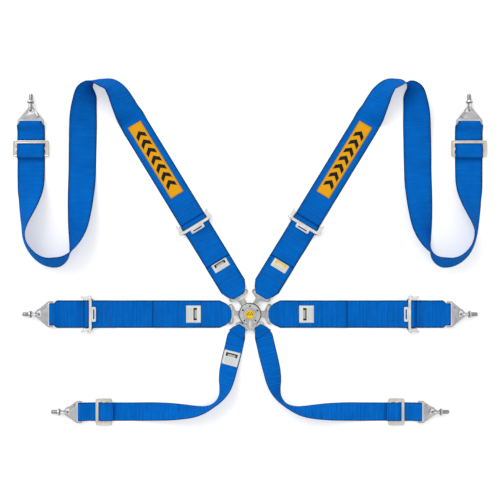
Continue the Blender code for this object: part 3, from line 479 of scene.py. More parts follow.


# each metal's side colour is painted shade, laid over walls and bevels as they turn away from lying flat
metalLooks = {
    "castAlloy": {
        "bright": (0.70, 0.70, 0.685),
        "dull": (0.54, 0.54, 0.53),
        "side": (0.060, 0.060, 0.062),
        "paintedWallShade": (0.012, 0.20),
        "roughness": (0.30, 0.44),
        "grainScale": 1100.0,
        "bump": 0.16,
    },
    "tongueAlloy": {
        "bright": (0.58, 0.58, 0.56),
        "dull": (0.38, 0.38, 0.37),
        "side": (0.050, 0.050, 0.050),
        "paintedWallShade": (0.010, 0.14),
        "roughness": (0.30, 0.44),
        "grainScale": 1100.0,
        "bump": 0.16,
    },
    "coverAlloy": {
        "bright": (0.58, 0.58, 0.585),
        "dull": (0.46, 0.46, 0.465),
        "side": (0.040, 0.040, 0.043),
        "paintedWallShade": (0.012, 0.20),
        "roughness": (0.28, 0.40),
        "grainScale": 1100.0,
        "bump": 0.14,
    },
    "boltSteel": {
        "bright": (0.66, 0.645, 0.65),
        "dull": (0.50, 0.49, 0.50),
        "side": (0.23, 0.22, 0.225),
        "paintedWallShade": (0.10, 0.95),
        "roughness": (0.26, 0.40),
        "grainScale": 1900.0,
        "bump": 0.10,
    },
    "platedSteel": {
        "bright": (0.52, 0.51, 0.52),
        "dull": (0.38, 0.37, 0.38),
        "side": (0.050, 0.048, 0.050),
        "paintedWallShade": (0.012, 0.20),
        "roughness": (0.24, 0.38),
        "grainScale": 1900.0,
        "bump": 0.08,
    },
    "adjusterSteel": {
        "bright": (0.80, 0.795, 0.78),
        "dull": (0.62, 0.61, 0.59),
        "side": (0.045, 0.042, 0.040),
        "paintedWallShade": (0.012, 0.20),
        "roughness": (0.22, 0.34),
        "grainScale": 1900.0,
        "bump": 0.08,
    },
    "slideSteel": {
        "bright": (0.70, 0.655, 0.60),
        "dull": (0.56, 0.52, 0.47),
        "side": (0.13, 0.12, 0.11),
        "paintedWallShade": (0.012, 0.20),
        "roughness": (0.24, 0.38),
        "grainScale": 1900.0,
        "bump": 0.08,
    },
    "springSteel": {
        "bright": (0.30, 0.30, 0.31),
        "dull": (0.18, 0.18, 0.19),
        "side": (0.12, 0.12, 0.12),
        "paintedWallShade": (0.012, 0.20),
        "roughness": (0.28, 0.45),
        "grainScale": 2500.0,
        "bump": 0.05,
    },
    "blackScrew": {
        "bright": (0.10, 0.10, 0.105),
        "dull": (0.04, 0.04, 0.045),
        "side": (0.02, 0.02, 0.02),
        "paintedWallShade": (0.012, 0.20),
        "roughness": (0.35, 0.5),
        "grainScale": 2500.0,
        "bump": 0.1,
    },
}


def metalMaterial(name, look):
    material, tree, shader = newMaterial(name)
    skin = placeEffect(tree, metalSkin, Place=readPlace(tree), GrainScale=look["grainScale"])
    cloud = spread(tree, skin.outputs["Cloud"], 0.32, 0.68, 0.0, 1.0)
    colour = blendColours(tree, cloud, look["dull"], look["bright"])
    colour = blendColours(tree, compute(tree, "MULTIPLY", skin.outputs["Scuff"], 0.35), colour, look["dull"])
    # painted shade: walls and bevels blend towards the side colour
    paintedWallShade = addNode(tree, "ShaderNodeAttribute", attribute_name="paintedWallShade").outputs["Fac"]
    colour = blendColours(tree, spread(tree, paintedWallShade, *look["paintedWallShade"], 0.0, 1.0), colour, look["side"])
    tree.links.new(colour, shader.inputs["Base Color"])
    low, high = look["roughness"]
    rough = compute(
        tree,
        "MULTIPLY_ADD",
        skin.outputs["Scuff"],
        (high - low) * 0.6,
        spread(tree, skin.outputs["Cloud"], 0.3, 0.7, high, low),
    )
    tree.links.new(rough, shader.inputs["Roughness"])
    shader.inputs["Metallic"].default_value = 1.0
    addBump(tree, shader, skin.outputs["Grain"], look["bump"], 0.0002)
    return material


webbingBlue = webbingMaterial("webbingBlue", webbingLook)
shoulderBlue = webbingMaterial("shoulderBlue", {**webbingLook, "second": 0.45, "contrast": (0.28, 0.72)})
legBlue = webbingMaterial("legBlue", {**webbingLook, "light": (0.0016, 0.184, 0.740), "ribPitch": 0.0015})
metals = {name: metalMaterial(name, look) for name, look in metalLooks.items()}

print("shared surfaces ready")

# ---- where the arms lie: u runs outwards along an arm, v to its left, z up; right mirrors left

layout = {
    "polars": {"shoulder": 121.4, "lap": 180.0, "leg": 236.5},
    "shoulderEnd": (-0.597, 0.527),
    "lapReach": 0.547,
    "legEnd": (-0.469, -0.266),
}
sides = {"left": 1, "right": -1}
armFrames = {arm: Matrix.Rotation(math.radians(turn), 4, "Z") for arm, turn in layout["polars"].items()}
endFrames = {
    "shoulder": Matrix.Translation((*layout["shoulderEnd"], 0)) @ Matrix.Rotation(math.radians(90), 4, "Z"),
    "lap": Matrix.Translation((-layout["lapReach"], 0, 0)) @ Matrix.Rotation(math.radians(180), 4, "Z"),
    "leg": Matrix.Translation((*layout["legEnd"], 0)) @ Matrix.Rotation(math.radians(180), 4, "Z"),
}


def onSide(place, side):
    if side > 0:
        return place.copy()
    turn = math.pi - place.to_euler().z
    spot = place.translation
    return Matrix.Translation((-spot.x, spot.y, 0)) @ Matrix.Rotation(turn, 4, "Z")


# ---- straps

strap = {
    "thickness": 0.0014,
    "wide": 0.075,
    "narrow": 0.050,
    "loopInside": 0.0041,
    "lockLoop": 0.00435,
    "belly": 0.004,  # how far the middle swells where the strap stands on edge
    "step": 0.014,
    "settle": 0.026,
    "lockSettle": 0.0085,  # the fold over a lock bar drops sooner
    "columns": 14,
    "edgeWander": 0.00035,  # how unevenly the edges run
    "spacing": 0.006,
    "tongueBar": {"shoulder": 0.0625, "lap": 0.0555, "leg": 0.0435},
    "endHalf": {"shoulder": (0.016, 0.021), "lap": (0.009, 0.0205), "leg": (0.0095, 0.0125)},
    "taper": 0.027,
    "waist": (0.3, 0.45),  # shares of the taper's length and of its widening
    "tongueTail": {"shoulder": 0.168, "lap": 0.264, "leg": 0.068},
    "lockTail": {"shoulder": 0.060, "lap": 0.045},
    "fixedTail": 0.058,
    "adjuster": {"shoulder": 0.2815, "lap": 0.433},
    "fixedU": -0.001,
    "lockU": 0.0115,
    "lockZ": 0.0092,
    "slideBack": {"shoulder": 0.0755, "leg": 0.0703},
    "slideLength": 0.044,
    "slideBar": 0.008,
    "neck": {"shoulder": (0.0125, 0.0070), "lap": (0.020, 0.0135), "leg": (0.0125, 0.0070)},
    "plateHalf": {"shoulder": 0.0295, "lap": 0.0295, "leg": 0.0242},
    "straightTo": 0.601,
}
flat = strap["thickness"] / 2
stacked = flat + strap["thickness"] + gap
loopR = strap["loopInside"] + flat
lockR = strap["lockLoop"] + flat
barZ = flat + loopR
slideZ = stacked + strap["thickness"] + plateThick / 2 + 3 * gap
eye = {"ring": 0.0095, "wire": 0.0035, "collar": 0.0095, "collarFrom": 0.012, "collarTo": 0.016}
eye.update({"shank": 0.0055, "shankTo": 0.037})
eyeZ = eye["ring"] + eye["wire"]
anchorZ = eyeZ - math.sqrt((eye["ring"] - eye["wire"] - gap) ** 2 - 0.003**2) + plateThick / 2
anchorBar = -(loopR + flat)

shoulderRoute = [
    (-0.3216, 0.5285, 0),
    (-0.3345, 0.5530, 25),
    (-0.3465, 0.5785, 36),
    (-0.3590, 0.6025, 46),
    (-0.3765, 0.6215, 57),
    (-0.3980, 0.6275, 66),
    (-0.4180, 0.6300, 77),
    (-0.4330, 0.6230, 98),
    (-0.4430, 0.6020, 131),
    (-0.4490, 0.5720, 145),
    (-0.4530, 0.5400, 159),
    (-0.4550, 0.5000, 169),
    (-0.4565, 0.4480, 176),
    (-0.4585, 0.3660, 183),
    (-0.4605, 0.3250, 193),
    (-0.4630, 0.2840, 204),
    (-0.4665, 0.2430, 217),
    (-0.4730, 0.2090, 234),
    (-0.4830, 0.1800, 254),
    (-0.4985, 0.1555, 276),
    (-0.5215, 0.1425, 290),
    (-0.5460, 0.1415, 290),
    (-0.5700, 0.1510, 288),
    (-0.5905, 0.1695, 286),
    (-0.6050, 0.1940, 283),
    (-0.6110, 0.2220, 285),
    (-0.6090, 0.2520, 296),
    (-0.6040, 0.2830, 312),
    (-0.5995, 0.3120, 328),
    (-0.5975, 0.3400, 345),
    (-0.5970, 0.3750, 358),
]
legRoute = [
    (-0.0355, -0.0560, 0),
    (-0.0405, -0.0740, 0),
    (-0.0460, -0.0980, 3),
    (-0.0587, -0.1496, 18),
    (-0.0640, -0.1780, 33),
    (-0.0690, -0.2030, 54),
    (-0.0790, -0.2260, 74),
    (-0.0970, -0.2450, 84),
    (-0.1210, -0.2570, 76),
    (-0.1480, -0.2625, 61),
    (-0.1760, -0.2640, 47),
    (-0.2100, -0.2645, 32),
    (-0.2600, -0.2650, 14),
    (-0.3100, -0.2660, 2),
]


def arcPoints(u, z, radius, start, end, steps=16):
    turns = [math.radians(start + (end - start) * i / steps) for i in range(steps + 1)]
    return [(u + radius * math.cos(a), z + radius * math.sin(a)) for a in turns]


def easePoints(start, end, steps=8):
    points = []
    for i in range(1, steps):
        t = i / steps
        level = t * t * (3 - 2 * t)
        points.append((start[0] + (end[0] - start[0]) * t, start[1] + (end[1] - start[1]) * level))
    return points


def rowsFrom(place, profile, halfAt):
    across = place.to_3x3() @ Vector((0, 1, 0))
    return [(place @ Vector((u, 0, z)), across, halfAt(u), 0.0) for u, z in profile]


def curveThrough(route, spacing):
    points = []
    for i in range(1, len(route) - 2):
        p0, p1, p2, p3 = (Vector(route[j]) for j in range(i - 1, i + 3))
        steps = max(1, round((p2 - p1).xy.length / spacing))
        for step in range(steps):
            t = step / steps
            straight = 2 * p1 + (p2 - p0) * t
            bent = (2 * p0 - 5 * p1 + 4 * p2 - p3) * t**2 + (3 * p1 - p0 - 3 * p2 + p3) * t**3
            points.append(0.5 * (straight + bent))
    return points


def rowsAlong(route, before, after, half):
    knots = [(*before, route[0][2]), *route, (*after, route[-1][2])]
    points = curveThrough(knots, strap["spacing"])
    rows = []
    for i, point in enumerate(points):
        ahead = points[min(i + 1, len(points) - 1)] - points[max(i - 1, 0)]
        heading = math.atan2(ahead.y, ahead.x)
        roll = math.radians(point.z)
        left = Vector((-math.sin(heading), math.cos(heading), 0))
        across = left * math.cos(roll) + Vector((0, 0, 1)) * math.sin(roll)
        stand = abs(math.sin(roll))
        middle = Vector((point.x, point.y, half * stand + flat))
        rows.append((middle, across, half, strap["belly"] * stand**2))
    return rows


def widthBetween(places):
    def halfAt(u):
        if u <= places[0][0]:
            return places[0][1]
        for (u0, half0), (u1, half1) in zip(places, places[1:]):
            if u <= u1:
                return half0 + (half1 - half0) * (u - u0) / (u1 - u0)
        return places[-1][1]

    return halfAt


def tongueWidth(arm, half):
    bar = strap["tongueBar"][arm]
    fold, end = strap["endHalf"][arm]
    reach = strap["taper"]
    waist = (bar + reach * strap["waist"][0], end + (half - end) * strap["waist"][1])
    return widthBetween([(bar - loopR, fold), (bar, end), waist, (bar + reach, half)])


def tongueLoop(arm):
    bar, tail = strap["tongueBar"][arm], strap["tongueTail"][arm]
    settled = (min(bar + strap["settle"], tail - strap["step"] / 4), stacked)
    top = (bar, barZ + loopR)
    return [(tail, stacked), settled, *easePoints(settled, top), *arcPoints(bar, barZ, loopR, 90, 270)]


def innerStrap(arm):
    bar = strap["adjuster"][arm] + strap["fixedU"]
    tail, step, settle = strap["fixedTail"], strap["step"], strap["settle"]
    high = (bar - tail - step / 7, stacked)
    low = (high[0] - step, flat)
    leave = (bar - settle, stacked)
    tongueBar, taper = strap["tongueBar"][arm], strap["taper"]
    profile = [
        *tongueLoop(arm),
        (tongueBar + taper * strap["waist"][0], flat),
        (tongueBar + taper, flat),
        (low[0] - 3 * step, flat),
        low,
        *easePoints(low, high, 5),
        high,
        leave,
        *easePoints(leave, (bar, barZ + loopR)),
        *arcPoints(bar, barZ, loopR, 90, -90),
        (bar - tail, flat),
    ]
    return rowsFrom(armFrames[arm], profile, tongueWidth(arm, strap["wide"] / 2))


def lockLoop(arm):
    bar, lockZ = strap["adjuster"][arm] + strap["lockU"], strap["lockZ"]
    low = (bar + strap["lockSettle"], flat)
    high = (bar + strap["lockSettle"], stacked)
    return [
        (bar + strap["lockTail"][arm], flat),
        low,
        *easePoints(low, (bar, lockZ - lockR)),
        *arcPoints(bar, lockZ, lockR, 270, 90),
        *easePoints((bar, lockZ + lockR), high),
        high,
    ]


def endWidth(arm, half):
    wideUntil, narrowFrom = strap["neck"][arm]
    return widthBetween([(-wideUntil, half), (-narrowFrom, strap["plateHalf"][arm])])


def slideEnd(arm, half, arrive):
    u = -strap["slideBack"][arm]
    bar = strap["slideBar"]
    inner = strap["slideLength"] / 2 - bar
    clear = plateThick / 2 + gap + flat
    fold = u - strap["slideLength"] / 2 - gap
    low = (anchorBar - strap["settle"], flat)
    high = (anchorBar - strap["settle"], stacked)
    profile = [
        (arrive, flat),
        low,
        *easePoints(low, (anchorBar, anchorZ - loopR)),
        *arcPoints(anchorBar, anchorZ, loopR, -90, 90),
        *easePoints((anchorBar, anchorZ + loopR), high),
        high,
        (u + inner + bar, slideZ - clear),
        (u + inner, slideZ - clear),
        *easePoints((u + inner, slideZ - clear), (u + bar / 2, slideZ + clear), 6),
        (u + bar / 2, slideZ + clear),
        (u - inner, slideZ + clear),
        *arcPoints(fold, slideZ, clear, 90, 270, 12),
        (u - bar / 2, slideZ - clear),
    ]
    return rowsFrom(endFrames[arm], profile, endWidth(arm, half))


def upperShoulderStrap():
    arm, half = "shoulder", strap["wide"] / 2
    end = strap["adjuster"][arm] + strap["lockU"] + strap["lockTail"][arm] + strap["step"] / 7
    high, low = (end, stacked), (end + strap["step"], flat)
    profile = [*lockLoop(arm), high, *easePoints(high, low, 5), low, (strap["straightTo"], flat)]
    arrive = -strap["slideBack"][arm] - strap["slideLength"]
    before = (armFrames[arm] @ Vector((strap["straightTo"], 0, 0))).xy
    after = (endFrames[arm] @ Vector((arrive, 0, 0))).xy
    return [
        *rowsFrom(armFrames[arm], profile, lambda u: half),
        *rowsAlong(shoulderRoute, before, after, half),
        *slideEnd(arm, half, arrive),
    ]


def outerLapStrap():
    arm, half = "lap", strap["wide"] / 2
    bar = layout["lapReach"] + anchorBar
    high, low = (bar - strap["settle"], stacked), (bar - strap["settle"], flat)
    tail = strap["adjuster"][arm] + strap["lockU"] + strap["lockTail"][arm] + strap["step"] / 2
    profile = [
        *lockLoop(arm),
        high,
        *easePoints(high, (bar, anchorZ + loopR)),
        *arcPoints(bar, anchorZ, loopR, 90, -90),
        *easePoints((bar, anchorZ - loopR), low),
        low,
        (tail, flat),
    ]
    narrow = endWidth(arm, half)
    return rowsFrom(armFrames[arm], profile, lambda u: narrow(u - layout["lapReach"]))


def wholeLegStrap():
    arm, half = "leg", strap["narrow"] / 2
    halfAt = tongueWidth(arm, half)
    start = rowsFrom(armFrames[arm], tongueLoop(arm), halfAt)
    reach = strap["tongueBar"][arm] + strap["step"] / 4
    arrive = -strap["slideBack"][arm] - strap["slideLength"]
    before = (armFrames[arm] @ Vector((reach, 0, 0))).xy
    after = (endFrames[arm] @ Vector((arrive, 0, 0))).xy
    route = rowsAlong(legRoute, before, after, half)
    narrowed = [(p, across, min(wide, halfAt(p.xy.length)), bow) for p, across, wide, bow in route]
    return [*start, *narrowed, *slideEnd(arm, half, arrive)]


def filledIn(rows, spacing):
    # more rows on the long straight runs, so that the edges can wander
    out = [rows[0]]
    for near, far in zip(rows, rows[1:]):
        steps = max(1, math.ceil((far[0] - near[0]).length / spacing))
        for i in range(1, steps + 1):
            t = i / steps
            across = near[1].lerp(far[1], t).normalized()
            sizes = [near[k] + (far[k] - near[k]) * t for k in (2, 3)]
            out.append((near[0].lerp(far[0], t), across, *sizes))
    return out


def mirrored(rows, side):
    flip = Matrix.Diagonal((side, 1, 1))
    return [(flip @ middle, (flip @ across) * side, half, bow * side) for middle, across, half, bow in rows]


def alongs(rows):
    lengths = [0.0]
    for near, far in zip(rows, rows[1:]):
        lengths.append(lengths[-1] + (far[0] - near[0]).length)
    return lengths


def outward(rows, i):
    ahead = rows[min(i + 1, len(rows) - 1)][0] - rows[max(i - 1, 0)][0]
    return ahead.cross(rows[i][1]).normalized()


def spotOn(rows, lengths, along, across, lift):
    # a place on the upper face of a strap: its position, the way along it and the way out of it
    i = max(k for k in range(len(rows) - 1) if lengths[k] <= along or k == 0)
    t = (along - lengths[i]) / max(1e-9, lengths[i + 1] - lengths[i])
    near, far = rows[i], rows[i + 1]
    out = outward(rows, i).lerp(outward(rows, i + 1), t).normalized()
    side = near[1].lerp(far[1], t).normalized()
    half = near[2] + (far[2] - near[2]) * t
    bow = near[3] + (far[3] - near[3]) * t
    share = across / half
    middle = near[0].lerp(far[0], t) + side * across + out * bow * (1 - share**2)
    facing = out if out.z > 0 else -out
    return middle + facing * (strap["thickness"] / 2 + lift), (far[0] - near[0]).normalized(), side, facing


def withShadeAndSeamLines(rows, shadeAndSeamLines):
    # rows at each painted shade line and on both sides of it, so that its dark line has clean edges
    lengths = alongs(rows)
    stops = {along + offset * width for along, width, depth in shadeAndSeamLines for offset in (-1, -0.4, 0, 0.4, 1)}
    out = []
    for i, (near, far) in enumerate(zip(rows, rows[1:])):
        out.append(near)
        span = lengths[i + 1] - lengths[i]
        for stop in sorted(s for s in stops if lengths[i] + 1e-5 < s < lengths[i + 1] - 1e-5):
            t = (stop - lengths[i]) / span
            sizes = [near[k] + (far[k] - near[k]) * t for k in (2, 3)]
            out.append((near[0].lerp(far[0], t), near[1].lerp(far[1], t).normalized(), *sizes))
    return [*out, rows[-1]]


def shadeAndSeamAt(shadeAndSeamLines, along):
    return max([0.0, *[depth * (1 - abs(along - at) / width) for at, width, depth in shadeAndSeamLines]])


def ribbon(name, rows, columns, thickness, shadeAndSeamLines, wander=0.0):
    lengths = alongs(rows)
    mesh = bpy.data.meshes.new(name)
    bm = bmesh.new()
    strapUv = bm.loops.layers.uv.new("strap")
    edgeUv = bm.loops.layers.uv.new("edge")
    # this map carries how dark the painted shade lines make each row
    shadeAndSeamUv = bm.loops.layers.uv.new("shadeAndSeam")
    grid = []
    marks = {}
    for i, (middle, across, half, bow) in enumerate(rows):
        out = outward(rows, i)
        line = []
        for j in range(columns + 1):
            share = 2 * j / columns - 1
            whichEdge = 3.7 if share > 0 else -3.7
            sway = wander * noise.noise(Vector((lengths[i] * 26, whichEdge, rows[0][0].x * 9)))
            spot = middle + across * (half * share + sway * abs(share) ** 3) + out * bow * (1 - share**2)
            vert = bm.verts.new(spot)
            shadeAndSeam = (shadeAndSeamAt(shadeAndSeamLines, lengths[i]), lengths[i])
            marks[vert] = ((half * share, lengths[i]), (share, lengths[i] / lengths[-1]), shadeAndSeam)
            line.append(vert)
        grid.append(line)
    for near, far in zip(grid, grid[1:]):
        for a in range(columns):
            face = bm.faces.new([near[a], far[a], far[a + 1], near[a + 1]])
            face.smooth = True
            for loop in face.loops:
                loop[strapUv].uv, loop[edgeUv].uv, loop[shadeAndSeamUv].uv = marks[loop.vert]
    bm.to_mesh(mesh)
    bm.free()
    obj = bpy.data.objects.new(name, mesh)
    bpy.context.scene.collection.objects.link(obj)
    applyModifier(obj, "SOLIDIFY", thickness=thickness, offset=0, use_even_offset=True)
    return obj, lengths[-1]


strapPlan = {
    "shoulder_strap_lower": (
        innerStrap("shoulder"),
        "wide",
        shoulderBlue,
        ["shoulder_tongue", "shoulder_adjuster_frame"],
    ),
    "shoulder_strap_upper": (
        upperShoulderStrap(),
        "wide",
        shoulderBlue,
        ["shoulder_lock_bar", "shoulder_anchor_plate"],
    ),
    "lap_strap_inner": (innerStrap("lap"), "wide", webbingBlue, ["lap_tongue", "lap_adjuster_frame"]),
    "lap_strap_outer": (outerLapStrap(), "wide", webbingBlue, ["lap_lock_bar", "lap_anchor_plate"]),
    "leg_strap": (wholeLegStrap(), "narrow", legBlue, ["leg_tongue", "leg_anchor_plate"]),
}
lockAt = {arm: strap["adjuster"][arm] + strap["lockU"] for arm in ("shoulder", "lap")}
slideFold = {arm: -strap["slideBack"][arm] - strap["slideLength"] / 2 for arm in ("shoulder", "leg")}
# painted shade lines across the straps: painted shadows at steps and cut ends, at the feet of folds and
# beside bars, and on the lap one seam line; frame, reach along it, height, width and depth
shadeAndSeamPlan = {
    "shoulder_strap_lower": [
        (armFrames["shoulder"], strap["tongueTail"]["shoulder"] + 0.0005, flat, 0.0035, 0.95),
        (armFrames["shoulder"], strap["tongueTail"]["shoulder"], stacked, 0.0022, 0.80),
    ],
    "shoulder_strap_upper": [
        (armFrames["shoulder"], lockAt["shoulder"] + strap["lockSettle"], stacked, 0.0030, 0.95),
        (endFrames["shoulder"], slideFold["shoulder"] - 0.0030, flat, 0.0032, 0.70),
        (endFrames["shoulder"], slideFold["shoulder"] - 0.0090, flat, 0.0120, 0.40),
        (endFrames["shoulder"], -strap["slideBack"]["shoulder"] + 0.0245, stacked, 0.0030, 0.55),
    ],
    "lap_strap_inner": [
        (armFrames["lap"], 0.1335, stacked, 0.0026, 0.75),
        (armFrames["lap"], strap["tongueTail"]["lap"] + 0.0005, flat, 0.0035, 0.75),
        (armFrames["lap"], 0.196, stacked, 0.0040, 0.18),
    ],
    "lap_strap_outer": [
        (armFrames["lap"], lockAt["lap"] + strap["lockSettle"], stacked, 0.0028, 0.70),
        (armFrames["lap"], lockAt["lap"] + 0.0190, stacked, 0.0040, 0.25),
    ],
    "leg_strap": [
        (endFrames["leg"], slideFold["leg"] - 0.0024, flat, 0.0034, 0.75),
        (endFrames["leg"], slideFold["leg"] - 0.0080, flat, 0.0100, 0.30),
    ],
}


def shadeAndSeamLinesOf(plan, rows):
    lengths = alongs(rows)
    found = []
    for place, reach, height, width, depth in shadeAndSeamPlan[plan]:
        spot = place @ Vector((reach, 0, height))
        nearest = min(zip(rows, lengths), key=lambda pair: (pair[0][0] - spot).length)[1]
        found.append((nearest, width, depth))
    return found


strapRows = {}
for plan, (route, width, material, holders) in strapPlan.items():
    shadeAndSeamLines = shadeAndSeamLinesOf(plan, filledIn(route, strap["spacing"] / 4))
    rows = withShadeAndSeamLines(filledIn(route, strap["spacing"] * 1.5), shadeAndSeamLines)
    for sideName, side in sides.items():
        node = f"{plan}_{sideName}"
        own = mirrored(rows, side)
        look = (strap["columns"], strap["thickness"], shadeAndSeamLines, strap["edgeWander"])
        piece, length = ribbon(f"{node}_webbing", own, *look)
        wear(piece, node, "webbing", material, node)
        [f"{holder}_{sideName}" for holder in holders]
        strapRows[node] = (own, alongs(own))

# ---- patches and labels, cut from the face of the strap they are sewn to


def faceCloth(name, plan, alongRange, acrossRange, thickness, lift, curl=0.0, columns=8, rows=24):
    # a thin cloth that follows the strap's upper face; its corners may curl a little
    own, lengths = strapRows[plan]
    mesh = bpy.data.meshes.new(name)
    bm = bmesh.new()
    place = bm.loops.layers.uv.new("strap")
    edge = bm.loops.layers.uv.new("edge")
    (low, high), (right, left) = alongRange, acrossRange
    grid = []
    marks = {}
    for i in range(rows + 1):
        line = []
        for j in range(columns + 1):
            t, s = i / rows, j / columns
            a, b = low + (high - low) * t, right + (left - right) * s
            rise = curl * (abs(2 * t - 1) ** 8 + abs(2 * s - 1) ** 8)
            spot = spotOn(own, lengths, a, b, lift + thickness / 2 + rise)[0]
            vert = bm.verts.new(spot)
            marks[vert] = ((b - (right + left) / 2, a - (low + high) / 2), (2 * s - 1, 2 * t - 1))
            line.append(vert)
        grid.append(line)
    for near, far in zip(grid, grid[1:]):
        for a in range(columns):
            face = bm.faces.new([near[a], far[a], far[a + 1], near[a + 1]])
            face.smooth = True
            for loop in face.loops:
                loop[place].uv, loop[edge].uv = marks[loop.vert]
    bm.faces.ensure_lookup_table()
    bm.normal_update()
    if sum(face.normal.z for face in bm.faces) < 0:
        bmesh.ops.reverse_faces(bm, faces=bm.faces)
    bm.to_mesh(mesh)
    bm.free()
    obj = bpy.data.objects.new(name, mesh)
    bpy.context.scene.collection.objects.link(obj)
    return applyModifier(obj, "SOLIDIFY", thickness=thickness, offset=0)


def alongAt(plan, point):
    # the length along a strap at which its upper face passes nearest a point
    own, lengths = strapRows[plan]
    return min(zip(own, lengths), key=lambda pair: (pair[0][0] - Vector(point)).length)[1]


def inside(tree, value, low, high):
    # 1 between two values and 0 outside them
    above = compute(tree, "GREATER_THAN", value, low)
    return compute(tree, "MULTIPLY", above, compute(tree, "LESS_THAN", value, high))


def clothParts(tree):
    place = addNode(tree, "ShaderNodeSeparateXYZ")
    tree.links.new(readPlace(tree, "strap"), place.inputs[0])
    edge = addNode(tree, "ShaderNodeSeparateXYZ")
    tree.links.new(readPlace(tree, "edge"), edge.inputs[0])
    return place.outputs[0], place.outputs[1], edge.outputs[0], edge.outputs[1]


patchLook = {
    "yellow": (0.950, 0.455, 0.004),
    "deepYellow": (0.800, 0.340, 0.003),
    "mark": (0.010, 0.010, 0.012),
    "from": 0.385,
    "to": 0.611,
    "half": 0.020,
    "thick": 0.0008,
    "chevronPitch": 0.026,
    "chevronDepth": 0.85,
    "chevronShare": 0.50,
    "markHalf": 0.0138,
    "markReach": 0.092,
}


def patchMaterial(look):
    material, tree, shader = newMaterial("patchCloth")
    weave = placeEffect(tree, strapWeave, Place=readPlace(tree, "strap"), RibPitch=0.0011, CordPitch=0.0008)
    across, along, edgeAcross, edgeAlong = clothParts(tree)
    shade = spread(tree, weave.outputs["Shade"], 0.25, 0.70, 0.0, 1.0)
    colour = blendColours(tree, shade, look["deepYellow"], look["yellow"])
    # woven chevrons in a row
    lean = compute(tree, "MULTIPLY", compute(tree, "ABSOLUTE", across), look["chevronDepth"])
    turn = compute(tree, "DIVIDE", compute(tree, "ADD", along, lean), look["chevronPitch"])
    repeated = compute(tree, "FRACT", compute(tree, "ADD", turn, 20.0))
    stripe = compute(tree, "LESS_THAN", repeated, look["chevronShare"])
    window = compute(tree, "MULTIPLY", inside(tree, across, -look["markHalf"], look["markHalf"]), stripe)
    window = compute(tree, "MULTIPLY", window, inside(tree, along, -look["markReach"], look["markReach"]))
    hem = compute(tree, "GREATER_THAN", compute(tree, "ABSOLUTE", edgeAcross), 0.93)
    hemEnd = compute(tree, "GREATER_THAN", compute(tree, "ABSOLUTE", edgeAlong), 0.986)
    colour = blendColours(tree, window, colour, look["mark"])
    border = compute(tree, "MULTIPLY", compute(tree, "MAXIMUM", hem, hemEnd), 0.75)
    colour = blendColours(tree, border, colour, look["deepYellow"])
    tree.links.new(colour, shader.inputs["Base Color"])
    shader.inputs["Roughness"].default_value = 0.72
    shader.inputs["Specular IOR Level"].default_value = 0.15
    shader.inputs["Sheen Weight"].default_value = 0.05
    woven = compute(tree, "MULTIPLY", weave.outputs["Height"], 0.5)
    relief = compute(tree, "MULTIPLY_ADD", window, 0.6, woven)
    relief = compute(tree, "MULTIPLY_ADD", border, 0.7, relief)
    addBump(tree, shader, relief, 0.6, 0.0003)
    return material


labelLook = {
    "cloth": (0.850, 0.870, 0.840),
    "deepCloth": (0.740, 0.770, 0.730),
    "mark": (0.018, 0.020, 0.022),
    "print": (0.330, 0.350, 0.340),
    "band": (0.860, 0.580, 0.030),
    "thick": 0.0004,
    "curl": 0.00035,
    "linePitch": 0.0034,
}


def labelMaterial(name, look, barAt, pageAt, banded=False):
    material, tree, shader = newMaterial(name)
    weave = placeEffect(tree, strapWeave, Place=readPlace(tree, "strap"), RibPitch=0.0006, CordPitch=0.0005)
    _, along, edgeAcross, edgeAlong = clothParts(tree)
    colour = blendColours(tree, weave.outputs["Shade"], look["deepCloth"], look["cloth"])
    # a plain bracket and a few ruled lines stand for what is printed
    low, high = barAt
    third = (high - low) / 3
    bar = compute(tree, "MULTIPLY", inside(tree, edgeAcross, -0.74, 0.72), inside(tree, edgeAlong, low, high))
    slotAcross = inside(tree, edgeAcross, -0.50, 0.48)
    slot = compute(tree, "MULTIPLY", slotAcross, inside(tree, edgeAlong, low + third, high))
    bar = compute(tree, "SUBTRACT", bar, compute(tree, "MULTIPLY", slot, 0.55), clamp=True)
    pitches = compute(tree, "DIVIDE", along, look["linePitch"])
    ruled = compute(tree, "FRACT", compute(tree, "ADD", pitches, 20.0))
    ruled = compute(tree, "LESS_THAN", ruled, 0.42)
    page = compute(tree, "MULTIPLY", inside(tree, edgeAcross, -0.75, 0.75), inside(tree, edgeAlong, *pageAt))
    ruled = compute(tree, "MULTIPLY", compute(tree, "MULTIPLY", ruled, page), 0.62)
    colour = blendColours(tree, ruled, colour, look["print"])
    colour = blendColours(tree, bar, colour, look["band"] if banded else look["mark"])
    tree.links.new(colour, shader.inputs["Base Color"])
    shader.inputs["Roughness"].default_value = 0.62
    shader.inputs["Specular IOR Level"].default_value = 0.2
    addBump(tree, shader, weave.outputs["Height"], 0.3, 0.0001)
    return material


patchCloth = patchMaterial(patchLook)
shoulderLabel = labelMaterial("labelClothShoulder", labelLook, (-0.78, -0.04), (0.08, 0.80))
shoulderBanded = labelMaterial("labelClothBanded", labelLook, (-0.84, 0.02), (0.10, 0.80), banded=True)
lapLabel = labelMaterial("labelClothLap", labelLook, (-0.02, 0.46), (-0.85, -0.14))
legLabelCloth = labelMaterial("labelClothLeg", labelLook, (-0.70, -0.16), (0.00, 0.80))

middleOfPatch = (patchLook["from"] + patchLook["to"]) / 2
for sideName, side in sides.items():
    plan = f"shoulder_strap_upper_{sideName}"
    centre = onSide(armFrames["shoulder"], side) @ Vector((middleOfPatch, 0, flat))
    mid = alongAt(plan, centre)
    reach = (patchLook["to"] - patchLook["from"]) / 2
    patch = faceCloth(
        f"shoulder_patch_{sideName}_cloth",
        plan,
        (mid - reach, mid + reach),
        (-patchLook["half"], patchLook["half"]),
        patchLook["thick"],
        gap,
        columns=10,
        rows=48,
    )
    wear(patch, plan, "patch", patchCloth, f"shoulder_patch_{sideName}")

